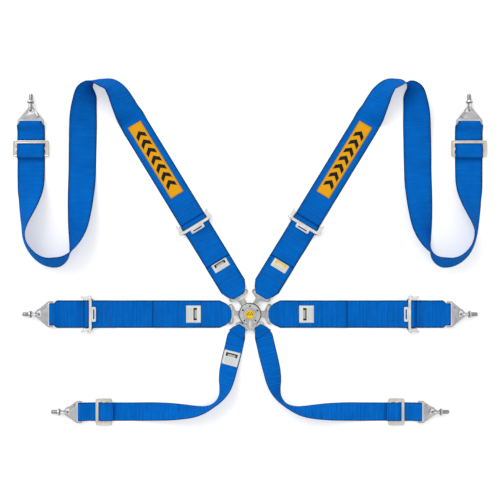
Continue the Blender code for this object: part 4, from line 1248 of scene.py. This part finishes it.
# label places: plan, along from the strap's own start, across, material
labels = {
    "shoulder_label_left": ("shoulder_strap_lower_left", (0.0010, 0.0245), (-0.024, 0.022), shoulderLabel),
    "shoulder_label_right": ("shoulder_strap_lower_right", (0.0010, 0.0245), (-0.024, 0.022), shoulderBanded),
    "lap_label_left": ("lap_strap_inner_left", (0.090, 0.130), (-0.0235, 0.0235), lapLabel),
    "lap_label_right": ("lap_strap_inner_right", (0.090, 0.130), (-0.0235, 0.0235), lapLabel),
}
for name, (plan, along, across, material) in labels.items():
    label = faceCloth(name, plan, along, across, labelLook["thick"], gap / 2, labelLook["curl"], rows=12)
    wear(label, plan, "patch", material)

legPlan = "leg_strap_left"
legMid = alongAt(legPlan, (-0.0505, -0.1205, flat))
legAlong, legAcross = (legMid - 0.0195, legMid + 0.0195), (-0.0225, 0.0225)
legSet = (labelLook["thick"], gap / 2, labelLook["curl"])
legLabel = faceCloth("leg_label_left", legPlan, legAlong, legAcross, *legSet, rows=12)
wear(legLabel, legPlan, "patch", legLabelCloth)
print("patches and labels sewn on")

# ---- stitching: one stitch modelled once, copied along each seam

stitch = {
    "length": 0.0030,
    "pitch": 0.0040,
    "thread": 0.00042,
    "inset": 0.005,  # from the strap's edges
}


def threadMaterial(name, light, deep):
    material, tree, shader = newMaterial(name)
    twist = addNode(tree, "ShaderNodeTexNoise")
    twist.inputs["Scale"].default_value = 900.0
    tree.links.new(readPlace(tree), twist.inputs["Vector"])
    share = spread(tree, twist.outputs[0], 0.35, 0.65, 0.0, 1.0)
    tree.links.new(blendColours(tree, share, deep, light), shader.inputs["Base Color"])
    shader.inputs["Roughness"].default_value = 0.6
    shader.inputs["Specular IOR Level"].default_value = 0.2
    addBump(tree, shader, twist.outputs[0], 0.3, 0.0001)
    return material


threadBlue = threadMaterial("threadBlue", (0.010, 0.170, 0.560), (0.004, 0.075, 0.300))
threadPale = threadMaterial("threadPale", (0.700, 0.720, 0.680), (0.480, 0.500, 0.470))
threadYellow = threadMaterial("threadYellow", (0.800, 0.430, 0.020), (0.520, 0.240, 0.006))


def makeStitch():
    deselectAll()
    bpy.ops.mesh.primitive_cylinder_add(
        vertices=6, radius=stitch["thread"], depth=stitch["length"], rotation=(0, math.radians(90), 0)
    )
    one = settle(bpy.context.object, "oneStitch")
    startEdit(one)
    pickFaces(one, lambda f: abs(f.normal.x) > 0.9)
    bpy.ops.mesh.inset(thickness=stitch["thread"] * 0.35, depth=stitch["thread"] * 0.9)
    endEdit()
    bpy.ops.object.shade_smooth()
    return one


oneStitch = makeStitch()


def sew(name, plan, runs, material, lift=0.0):
    # each run is a line across or along the strap's face: (along, across) to (along, across)
    own, lengths = strapRows[plan]
    bm = bmesh.new()
    for (a0, c0), (a1, c1) in runs:
        distance = math.hypot(a1 - a0, c1 - c0)
        count = max(1, int(distance / stitch["pitch"]))
        for i in range(count):
            t = (i + 0.5) / count
            at = (a0 + (a1 - a0) * t, c0 + (c1 - c0) * t, stitch["thread"] * 0.25 + lift)
            spot, ahead, across, out = spotOn(own, lengths, *at)
            way = (ahead * (a1 - a0) + across * (c1 - c0)).normalized()
            turn = Matrix((way, out.cross(way), out)).transposed().to_4x4()
            before = len(bm.verts)
            bm.from_mesh(oneStitch.data)
            bm.verts.ensure_lookup_table()
            bmesh.ops.transform(bm, matrix=Matrix.Translation(spot) @ turn, verts=bm.verts[before:])
    mesh = bpy.data.meshes.new(name)
    bm.to_mesh(mesh)
    bm.free()
    obj = bpy.data.objects.new(name, mesh)
    bpy.context.scene.collection.objects.link(obj)
    pick(obj)
    bpy.ops.object.shade_smooth()
    wear(obj, plan, "webbing", material)
    return obj


def rowsAcross(starts, half):
    reach = half - stitch["inset"]
    return [((a, -reach), (a, reach)) for a in starts]


def boxAndCross(start, end, half):
    reach = half - stitch["inset"]
    return [
        *rowsAcross([start, end], half),
        ((start, -reach), (end, -reach)),
        ((start, reach), (end, reach)),
        ((start, -reach), (end, reach)),
        ((start, reach), (end, -reach)),
    ]


def around(along, across, inset):
    (a0, a1), (c0, c1) = (along[0] + inset, along[1] - inset), (across[0] + inset, across[1] - inset)
    return [((a0, c0), (a0, c1)), ((a0, c1), (a1, c1)), ((a1, c1), (a1, c0)), ((a1, c0), (a0, c0))]


wideHalf = strap["wide"] / 2
for sideName, side in sides.items():
    armAt = {arm: onSide(place, side) for arm, place in armFrames.items()}

    def along(plan, place, u, z=flat):
        return alongAt(f"{plan}_{sideName}", place @ Vector((u, 0, z)))

    start = strap["tongueTail"]["shoulder"]
    fixed = strap["adjuster"]["shoulder"] + strap["fixedU"]
    near = along("shoulder_strap_lower", armAt["shoulder"], fixed - strap["fixedTail"] + 0.006, stacked)
    runs = [
        *rowsAcross([start - 0.118, start - 0.1135], wideHalf),
        *boxAndCross(near, near + 0.022, wideHalf),
    ]
    sew(f"shoulder_lower_stitching_{sideName}", f"shoulder_strap_lower_{sideName}", runs, threadBlue)

    lock = strap["adjuster"]["shoulder"] + strap["lockU"]
    near = along("shoulder_strap_upper", armAt["shoulder"], lock + 0.030, stacked)
    sew(
        f"shoulder_upper_stitching_{sideName}",
        f"shoulder_strap_upper_{sideName}",
        boxAndCross(near, near + 0.024, wideHalf),
        threadBlue,
    )

    fixed = strap["adjuster"]["lap"] + strap["fixedU"]
    near = along("lap_strap_inner", armAt["lap"], fixed - strap["fixedTail"] + 0.006, stacked)
    runs = [
        *rowsAcross([0.0035, 0.0075, 0.131, 0.1355], wideHalf),
        *rowsAcross([0.184], wideHalf * 0.97),
        *boxAndCross(near, near + 0.022, wideHalf),
    ]
    sew(f"lap_inner_stitching_{sideName}", f"lap_strap_inner_{sideName}", runs, threadBlue)

    lock = strap["adjuster"]["lap"] + strap["lockU"]
    near = along("lap_strap_outer", armAt["lap"], lock + 0.028, stacked)
    sew(
        f"lap_outer_stitching_{sideName}",
        f"lap_strap_outer_{sideName}",
        rowsAcross([near, near + 0.004], wideHalf * 0.97),
        threadBlue,
    )

    plan = f"shoulder_strap_upper_{sideName}"
    mid = alongAt(plan, armAt["shoulder"] @ Vector((middleOfPatch, 0, flat)))
    reach = (patchLook["to"] - patchLook["from"]) / 2
    sew(
        f"patch_stitching_{sideName}",
        plan,
        around((mid - reach, mid + reach), (-patchLook["half"], patchLook["half"]), 0.0018),
        threadYellow,
        patchLook["thick"] + gap,
    )
    onLabel = labelLook["thick"] + gap / 2
    for name, (owner, reachAlong, across, material) in labels.items():
        if owner.endswith(sideName):
            seam = around(reachAlong, across, 0.0014)
            sew(name.replace("label", "label_stitching"), owner, seam, threadPale, onLabel)
    if side > 0:
        sew(
            "leg_label_stitching_left",
            legPlan,
            around(legAlong, legAcross, 0.0014),
            threadPale,
            onLabel,
        )

bpy.data.objects.remove(oneStitch)
print("seams stitched")

# ---- buckle

buckle = {
    "radius": 0.031,
    "wall": 0.003,
    "spindle": 0.0064,
    "cavity": 0.0074,
    "top": 0.0025,
    "grooveIn": 0.0268,
    "grooveOut": 0.0281,
    "grooveDeep": 0.0006,
    "screwPolars": (90, 149, 28, 228, 312),
    "screwAt": 0.0226,
    "screwRadius": 0.0024,
    "screwSink": 0.0010,
    "lugRoot": (-0.023, 0.0195),
    "lugEnd": (-0.0435, 0.0088),
    "lugStep": 0.001,
}
coverZ = barZ + plateThick / 2 + 2 * gap
cavityTop = coverZ + buckle["cavity"]
coverTop = cavityTop + buckle["top"]
lugZ = barZ + loopR + flat + 4 * gap


def spunProfile(name, profile, sides=96):
    # a profile of (radius, height) drawn as an edge chain and spun round the upright axis
    mesh = bpy.data.meshes.new(name)
    count = len(profile)
    closed = profile[0][0] > 1e-6 or profile[-1][0] > 1e-6
    edges = [(i, i + 1) for i in range(count - 1)] + ([(count - 1, 0)] if closed else [])
    mesh.from_pydata([(r, 0, z) for r, z in profile], edges, [])
    obj = bpy.data.objects.new(name, mesh)
    bpy.context.scene.collection.objects.link(obj)
    startEdit(obj, "EDGE")
    bpy.ops.mesh.select_all(action="SELECT")
    bpy.ops.mesh.spin(steps=sides, angle=2 * math.pi, center=(0, 0, 0), axis=(0, 0, 1))
    bpy.ops.mesh.select_all(action="SELECT")
    bpy.ops.mesh.remove_doubles(threshold=1e-6)
    bpy.ops.mesh.normals_make_consistent(inside=False)
    endEdit()
    return obj


def makeCover():
    r, wall = buckle["radius"], buckle["wall"]
    groove = buckle["grooveDeep"]
    profile = [
        (buckle["spindle"], coverTop),
        (buckle["spindle"], cavityTop),
        (r - wall, cavityTop),
        (r - wall, coverZ),
        (r - 0.0003, coverZ),
        (r, coverZ + 0.0003),
        (r, coverTop - 0.0030),
        (r - 0.0004, coverTop - 0.0018),
        (r - 0.0014, coverTop - 0.0007),
        (r - 0.0024, coverTop - 0.0002),
        (buckle["grooveOut"], coverTop),
        (buckle["grooveOut"] - 0.0002, coverTop - groove),
        (buckle["grooveIn"] + 0.0002, coverTop - groove),
        (buckle["grooveIn"], coverTop),
        (0.0187, coverTop),
        (0.0184, coverTop - groove / 2),
    ]
    cover = spunProfile("buckle_cover_shell", profile)

    (rootY, rootHalf), (endY, endHalf) = buckle["lugRoot"], buckle["lugEnd"]
    nose = newBox("lug", (-rootHalf, endY, lugZ), (rootHalf, rootY, coverTop - buckle["lugStep"]))
    startEdit(nose)
    pickFaces(nose, lambda f: f.normal.y < -0.9)
    share = endHalf / rootHalf
    bpy.ops.transform.resize(value=(share, 1, 1))
    pickEdges(nose, lambda e: abs(e.verts[0].co.z - e.verts[1].co.z) > 0.001 and middleOf(e).y < endY + 0.001)
    bpy.ops.mesh.bevel(offset=0.003, segments=6, affect="EDGES")
    endEdit()
    roundEdges(nose, 0.0007, 3)
    cutWith(nose, newCylinder("inside", r - wall / 2, -0.01, 0.04, 96))
    cutWith(cover, nose, "UNION")
    for polar in buckle["screwPolars"]:
        turn = math.radians(polar)
        spot = (buckle["screwAt"] * math.cos(turn), buckle["screwAt"] * math.sin(turn))
        dimpleRadius, dimpleFloor = buckle["screwRadius"] + 0.0004, coverTop - buckle["screwSink"]
        cutWith(cover, newCylinder("dimple", dimpleRadius, dimpleFloor, 0.04, 32, spot))
    cleanUp(cover)
    return wear(cover, "buckle", "cast_alloy", metals["coverAlloy"], "buckle_cover")


def makeScrew(polar, number):
    # a socket screw sunk in its dimple
    turn = math.radians(polar)
    spot = (buckle["screwAt"] * math.cos(turn), buckle["screwAt"] * math.sin(turn))
    low = coverTop - buckle["screwSink"] + 0.00005
    screw = newCylinder(f"cover_screw_{number}", buckle["screwRadius"], low, low + 0.0007, 32, spot)
    roundEdges(screw, 0.0002, 2)
    startEdit(screw)
    pickFaces(screw, lambda f: f.normal.z > 0.99 and f.calc_center_median().z > low + 0.0006)
    bpy.ops.mesh.inset(thickness=0.0009, depth=0)
    bpy.ops.mesh.inset(thickness=0.0001, depth=-0.0005)
    endEdit()
    cleanUp(screw)
    return wear(screw, "buckle", "spring_steel", metals["blackScrew"])


makeCover()
for number, polar in enumerate(buckle["screwPolars"], 1):
    makeScrew(polar, number)
base = finishedCopy("buckle_base", "buckle_base_plate", 0.0005)
wear(base, "buckle", "cast_alloy", metals["castAlloy"], "buckle_base")

rotor = {
    "hub": 0.016,
    "height": 0.0065,
    "edge": 0.0012,
    "rimWidth": 0.0022,
    "rimDeep": 0.0005,
    "spindle": 0.006,
    "leverHalf": 0.0083,
    "leverReach": 0.039,
    "leverHeight": 0.0045,
    "ridge": 0.0017,
    "ridgeHigh": 0.0007,
    "badge": 0.012,
    "badgeHeight": 0.0008,
    "badgeDome": 0.0006,
}


def makeRotor():
    low = coverTop + gap
    high = low + rotor["height"]
    hubR, edge, rim = rotor["hub"], rotor["edge"], rotor["rimWidth"]
    spindleZ = coverZ + 2 * gap
    profile = [
        (0, spindleZ),
        (rotor["spindle"], spindleZ),
        (rotor["spindle"], low),
        (hubR - 0.0003, low),
        (hubR, low + 0.0003),
        (hubR, high - edge),
        (hubR - edge * 0.3, high - edge * 0.3),
        (hubR - edge, high),
        (hubR - rim, high),
        (hubR - rim - 0.0004, high - rotor["rimDeep"]),
        (rotor["badge"] + 0.0009, high - rotor["rimDeep"]),
        (rotor["badge"] + 0.0005, high),
        (0, high),
    ]
    hub = spunProfile("release_rotor_hub", profile)

    half, reach, tall = rotor["leverHalf"], rotor["leverReach"], rotor["leverHeight"]
    lever = newBox("lever", (-half, -reach, low + gap), (half, -hubR / 2, low + gap + tall))
    startEdit(lever)
    toe = 0.001 - reach
    pickEdges(lever, lambda e: abs(e.verts[0].co.z - e.verts[1].co.z) > 0.001 and middleOf(e).y < toe)
    bpy.ops.mesh.bevel(offset=half * 0.82, segments=10, affect="EDGES")
    endEdit()
    # nested arches on the lever's top, for the fingers
    topZ = low + gap + tall
    startEdit(lever)
    pickFaces(lever, lambda f: f.normal.z > 0.99)
    bpy.ops.mesh.inset(thickness=rotor["ridge"] * 0.6, depth=0)
    bpy.ops.mesh.inset(thickness=0.0003, depth=rotor["ridgeHigh"])
    bpy.ops.mesh.inset(thickness=rotor["ridge"] * 0.7, depth=0)
    bpy.ops.mesh.inset(thickness=0.0003, depth=-rotor["ridgeHigh"] * 1.4)
    bpy.ops.mesh.inset(thickness=rotor["ridge"] * 0.8, depth=0)
    bpy.ops.mesh.inset(thickness=0.0003, depth=rotor["ridgeHigh"] * 1.2)
    endEdit()
    roundEdges(lever, 0.0003, 2, 40)
    cutWith(hub, lever, "UNION")
    for i in range(3):  # grip grooves across the lever's toe
        y = -reach + 0.0042 + i * 0.0024
        grooveHalf = half * 0.42
        start, end = (-grooveHalf, y - 0.0005, topZ - 0.0004), (grooveHalf, y + 0.0005, topZ + 0.003)
        cutWith(hub, newBox("groove", start, end))
    cleanUp(hub)
    return wear(hub, "rotor", "cast_alloy", metals["castAlloy"], "release_rotor")


badgeLook = {
    "yellow": (0.980, 0.660, 0.004),
    "deep": (0.900, 0.540, 0.003),
    "ring": (0.030, 0.030, 0.032),
    "ringAt": (0.0104, 0.0109),
    "arcAt": (0.0052, 0.0074),
}


def badgeMaterial(look):
    # a plain turning mark: an open ring with a bar across its middle
    material, tree, shader = newMaterial("badgeYellow")
    parts = addNode(tree, "ShaderNodeSeparateXYZ")
    tree.links.new(readPlace(tree), parts.inputs[0])
    x, y = parts.outputs[0], parts.outputs[1]
    squares = compute(tree, "ADD", compute(tree, "MULTIPLY", x, x), compute(tree, "MULTIPLY", y, y))
    reach = compute(tree, "SQRT", squares)
    cloud = addNode(tree, "ShaderNodeTexNoise")
    cloud.inputs["Scale"].default_value = 260.0
    tree.links.new(readPlace(tree), cloud.inputs["Vector"])
    mottle = spread(tree, cloud.outputs[0], 0.3, 0.7, 0.0, 1.0)
    colour = blendColours(tree, mottle, look["deep"], look["yellow"])
    mark = inside(tree, reach, *look["ringAt"])
    upper = compute(tree, "GREATER_THAN", y, -0.0024)
    turning = compute(tree, "MULTIPLY", inside(tree, reach, *look["arcAt"]), upper)
    split = compute(tree, "GREATER_THAN", compute(tree, "ABSOLUTE", x), 0.0016)
    turning = compute(tree, "MULTIPLY", turning, split)
    short = compute(tree, "LESS_THAN", reach, 0.0034)
    bar = compute(tree, "MULTIPLY", inside(tree, y, -0.0010, 0.0010), short)
    mark = compute(tree, "MAXIMUM", mark, compute(tree, "MAXIMUM", turning, bar))
    tree.links.new(blendColours(tree, mark, colour, look["ring"]), shader.inputs["Base Color"])
    rough = spread(tree, cloud.outputs[0], 0.3, 0.7, 0.22, 0.34)
    tree.links.new(rough, shader.inputs["Roughness"])
    shader.inputs["Coat Weight"].default_value = 0.1
    shader.inputs["Specular IOR Level"].default_value = 0.2
    addBump(tree, shader, mark, 0.15, 0.0002)
    return material


def makeBadge():
    low = coverTop + gap + rotor["height"] + gap
    high = low + rotor["badgeHeight"]
    r, dome = rotor["badge"], rotor["badgeDome"]
    rim = [(r, low + 0.0002), (r, high - 0.0004), (r - 0.0003, high - 0.0001)]
    profile = [(0, low), (r - 0.0002, low), *rim]
    for i in range(1, 8):
        share = i / 7
        profile.append(((r - 0.0003) * (1 - share), high - 0.0001 + dome * (1 - (1 - share) ** 2) * 0.5))
    badge = spunProfile("rotor_badge_dome", profile)
    cleanUp(badge, 50)
    return wear(badge, "rotor", "badge", badgeMaterial(badgeLook), "rotor_badge")


makeRotor()
makeBadge()
for node in ("lift_plate", *[f"lock_pin_{n}" for n in range(1, 7)]):
    nodes[node].data.materials.clear()
    nodes[node].data.materials.append(metals["platedSteel"])
nodes["rotor_spring"].data.materials.clear()
nodes["rotor_spring"].data.materials.append(metals["springSteel"])
print("buckle assembled")

# ---- tongues, adjusters, slides and anchor plates keep their drawn shape, with finished edges

finish = {
    "edge": 0.0007,
    "tongueEdge": 0.0009,
    "tongue": {"shoulder": (0.0007, 0.0005, 0.0004), "lap": (0.0007, 0.0005, 0.0004), "leg": None},
    "slide": (0.0015, 0.0005, 0.0003),  # rim, slope and depth of the pressed middle
    "latchEdge": 0.0003,
    "eyeOut": 0.0060,  # eyes beside the adjuster's front bar
    "eyeHole": 0.0034,
    "eyeU": 0.0040,
    "eyeV": 0.0450,
}


def makeAdjuster(arm, sideName, side):
    node = f"{arm}_adjuster_frame_{sideName}"
    body = finishedCopy(node, f"{node}_finished", finish["edge"] * 0.8)
    place = onSide(armFrames[arm], side) @ Matrix.Translation((strap["adjuster"][arm], 0, 0))
    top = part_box(node)[1][2]
    for edgeSide in (1, -1):
        spot = (finish["eyeU"], edgeSide * finish["eyeV"])
        washer = newCylinder("eye", finish["eyeOut"], top - 0.0052, top - 0.0012, 40, spot)
        roundEdges(washer, 0.0006, 2)
        washer.data.transform(place)
        cutWith(body, washer, "UNION", "MANIFOLD")
        hole = newCylinder("hole", finish["eyeHole"], top - 0.02, top + 0.02, 40, spot)
        hole.data.transform(place)
        cutWith(body, hole, "DIFFERENCE", "MANIFOLD")
    cleanUp(body)
    return wear(body, f"{arm}_adjuster_{sideName}", "plated_steel", metals["adjusterSteel"], node)


def makeLockBar(arm, sideName, side):
    node = f"{arm}_lock_bar_{sideName}"
    bodyHalf = strap["wide"] / 2 + 0.0013 - gap
    stubHalf = strap["wide"] / 2 + 0.0013 + 0.0025 + 0.0018
    bar = newCylinder(f"{node}_finished", 0.004, -bodyHalf, bodyHalf, 40)
    startEdit(bar)
    pickFaces(bar, lambda f: abs(f.normal.z) > 0.99)
    bpy.ops.mesh.inset(thickness=0.002, depth=0)
    endEdit()
    for end in (1, -1):

        def isEnd(face):
            middle = face.calc_center_median()
            return face.normal.z * end > 0.99 and middle.xy.length < 1e-4 and len(face.verts) > 8

        startEdit(bar)
        pickFaces(bar, isEnd)
        stub = (0, 0, end * (stubHalf - bodyHalf))
        bpy.ops.mesh.extrude_region_move(TRANSFORM_OT_translate={"value": stub})
        endEdit()
    roundEdges(bar, 0.0004, 2, 50)
    turn = Matrix.Rotation(math.radians(90), 4, "X")
    spot = Matrix.Translation((strap["adjuster"][arm] + strap["lockU"], 0, strap["lockZ"]))
    bar.data.transform(onSide(armFrames[arm], side) @ spot @ turn)
    cleanUp(bar, 40)
    return wear(bar, f"{arm}_lock_bar_{sideName}", "plated_steel", metals["platedSteel"], node)


def makeEyebolt():
    # ring, neck, collar and a threaded shank, along +u from the ring's middle
    deselectAll()
    bpy.ops.mesh.primitive_torus_add(
        major_segments=64, minor_segments=24, major_radius=eye["ring"], minor_radius=eye["wire"]
    )
    ring = settle(bpy.context.object, "eyeRing")
    ring.data.transform(Matrix.Rotation(math.radians(90), 4, "X"))
    pitch, root = 0.00127, eye["shank"] - 0.0007
    profile = [(0, eye["ring"]), (eye["shank"], eye["ring"]), (eye["shank"], eye["collarFrom"])]
    profile += [(eye["collar"] - 0.0004, eye["collarFrom"]), (eye["collar"], eye["collarFrom"] + 0.0004)]
    profile += [(eye["collar"], eye["collarTo"] - 0.0004), (eye["collar"] - 0.0004, eye["collarTo"])]
    profile += [(eye["shank"] - 0.0003, eye["collarTo"])]
    z = eye["collarTo"] + 0.0016
    profile.append((eye["shank"] - 0.0003, z))
    while z < eye["shankTo"] - 3.2 * pitch:
        profile += [(root, z + pitch * 0.45), (root, z + pitch * 0.55), (eye["shank"], z + pitch * 0.95)]
        profile.append((eye["shank"], z + pitch * 1.05))
        z += pitch
    end = eye["shankTo"]
    profile += [(root, z + pitch * 0.5), (root, end - 0.0008), (root - 0.0008, end), (0, end)]
    shank = spunProfile("shank", profile, 40)
    shank.data.transform(Matrix.Rotation(math.radians(90), 4, "Y"))
    cutWith(ring, shank, "UNION")
    return cleanUp(ring, 28)


patternBolt = makeEyebolt()
boltDrop = math.asin((eyeZ - eye["shank"]) / eye["shankTo"])
for sideName, side in sides.items():
    for arm in armFrames:
        node = f"{arm}_tongue_{sideName}"
        pressed = finish["tongue"][arm]
        tongue = finishedCopy(node, f"{node}_finished", finish["tongueEdge"], pressed, slotted=True)
        wear(tongue, "buckle", "cast_alloy", metals["tongueAlloy"], node)

        node = f"{arm}_anchor_plate_{sideName}"
        plate = finishedCopy(node, f"{node}_finished", finish["edge"])
        wear(plate, f"{arm}_anchor_{sideName}", "plated_steel", metals["platedSteel"], node)

        node = f"{arm}_latch_{sideName}"
        latch = finishedCopy(node, f"{node}_finished", finish["latchEdge"])
        wear(latch, node, "plated_steel", metals["platedSteel"], node)

        node = f"{arm}_eyebolt_{sideName}"
        place = onSide(endFrames[arm], side)
        place = place @ Matrix.Translation((0.037, 0, eyeZ)) @ Matrix.Rotation(boltDrop, 4, "Y")
        wear(placed(patternBolt, place, f"{node}_finished"), node, "plated_steel", metals["boltSteel"], node)
    for arm in ("shoulder", "lap"):
        makeAdjuster(arm, sideName, side)
        makeLockBar(arm, sideName, side)
    for arm, owner in (("shoulder", "shoulder_strap_upper"), ("leg", "leg_strap")):
        node = f"{arm}_slide_{sideName}"
        slide = finishedCopy(node, f"{node}_finished", finish["edge"], finish["slide"])
        wear(slide, f"{owner}_{sideName}", "plated_steel", metals["slideSteel"], node)
bpy.data.objects.remove(patternBolt)
print("fittings finished")

# ---- floor, light and camera

studio = {
    "cameraHeight": 3.223,
    "cameraAt": (0.0, 0.175),
    "lens": 85,
    "sun": 0.95,
    "sunAngle": 34,
    "sky": 0.72,
    "floorGlow": 0.42,
}


def seenDirectly(tree):
    path = addNode(tree, "ShaderNodeLightPath")
    either = compute(tree, "MAXIMUM", path.outputs["Is Camera Ray"], path.outputs["Is Glossy Ray"])
    return compute(tree, "MAXIMUM", either, path.outputs["Is Transmission Ray"])


def makeStudio():
    deselectAll()
    bpy.ops.mesh.primitive_plane_add(size=14, location=(0, 0.1, -0.0003))
    floor = settle(bpy.context.object, "floor")
    material, tree, shader = newMaterial("floorPaper")
    grain = addNode(tree, "ShaderNodeTexNoise")
    grain.inputs["Scale"].default_value = 180.0
    tree.links.new(readPlace(tree), grain.inputs["Vector"])
    mottle = spread(tree, grain.outputs[0], 0.3, 0.7, 0.0, 1.0)
    paper = blendColours(tree, mottle, (0.79, 0.79, 0.79), (0.81, 0.81, 0.81))
    tree.links.new(paper, shader.inputs["Base Color"])
    shader.inputs["Roughness"].default_value = 0.9
    shader.inputs["Specular IOR Level"].default_value = 0.0
    shader.inputs["Emission Strength"].default_value = 1.0
    glow = compute(tree, "MULTIPLY", seenDirectly(tree), studio["floorGlow"])
    grey = addNode(tree, "ShaderNodeCombineColor")
    for socket in grey.inputs:
        tree.links.new(glow, socket)
    tree.links.new(grey.outputs[0], shader.inputs["Emission Color"])
    floor.data.materials.append(material)

    world = bpy.data.worlds.new("studioSky")
    bpy.context.scene.world = world
    world.use_nodes = True
    tree = world.node_tree
    strength = spread(tree, seenDirectly(tree), 0.0, 1.0, studio["sky"], 1.0)
    tree.links.new(strength, tree.nodes["Background"].inputs["Strength"])
    tree.nodes["Background"].inputs["Color"].default_value = (1, 1, 1, 1)

    deselectAll()
    tilt = (math.radians(-34), math.radians(-30), 0)
    bpy.ops.object.light_add(type="SUN", location=(-1.2, 1.6, 3), rotation=tilt)
    sun = bpy.context.object
    sun.name = "softSun"
    sun.data.energy = studio["sun"]
    sun.data.angle = math.radians(studio["sunAngle"])

    deselectAll()
    bpy.ops.object.camera_add(location=(*studio["cameraAt"], studio["cameraHeight"]), rotation=(0, 0, 0))
    camera = bpy.context.object
    camera.name = "studioCamera"
    camera.data.lens = studio["lens"]
    camera.data.sensor_width = 36
    bpy.context.scene.camera = camera
    bpy.context.scene.view_settings.view_transform = "Standard"


makeStudio()
print("studio ready")
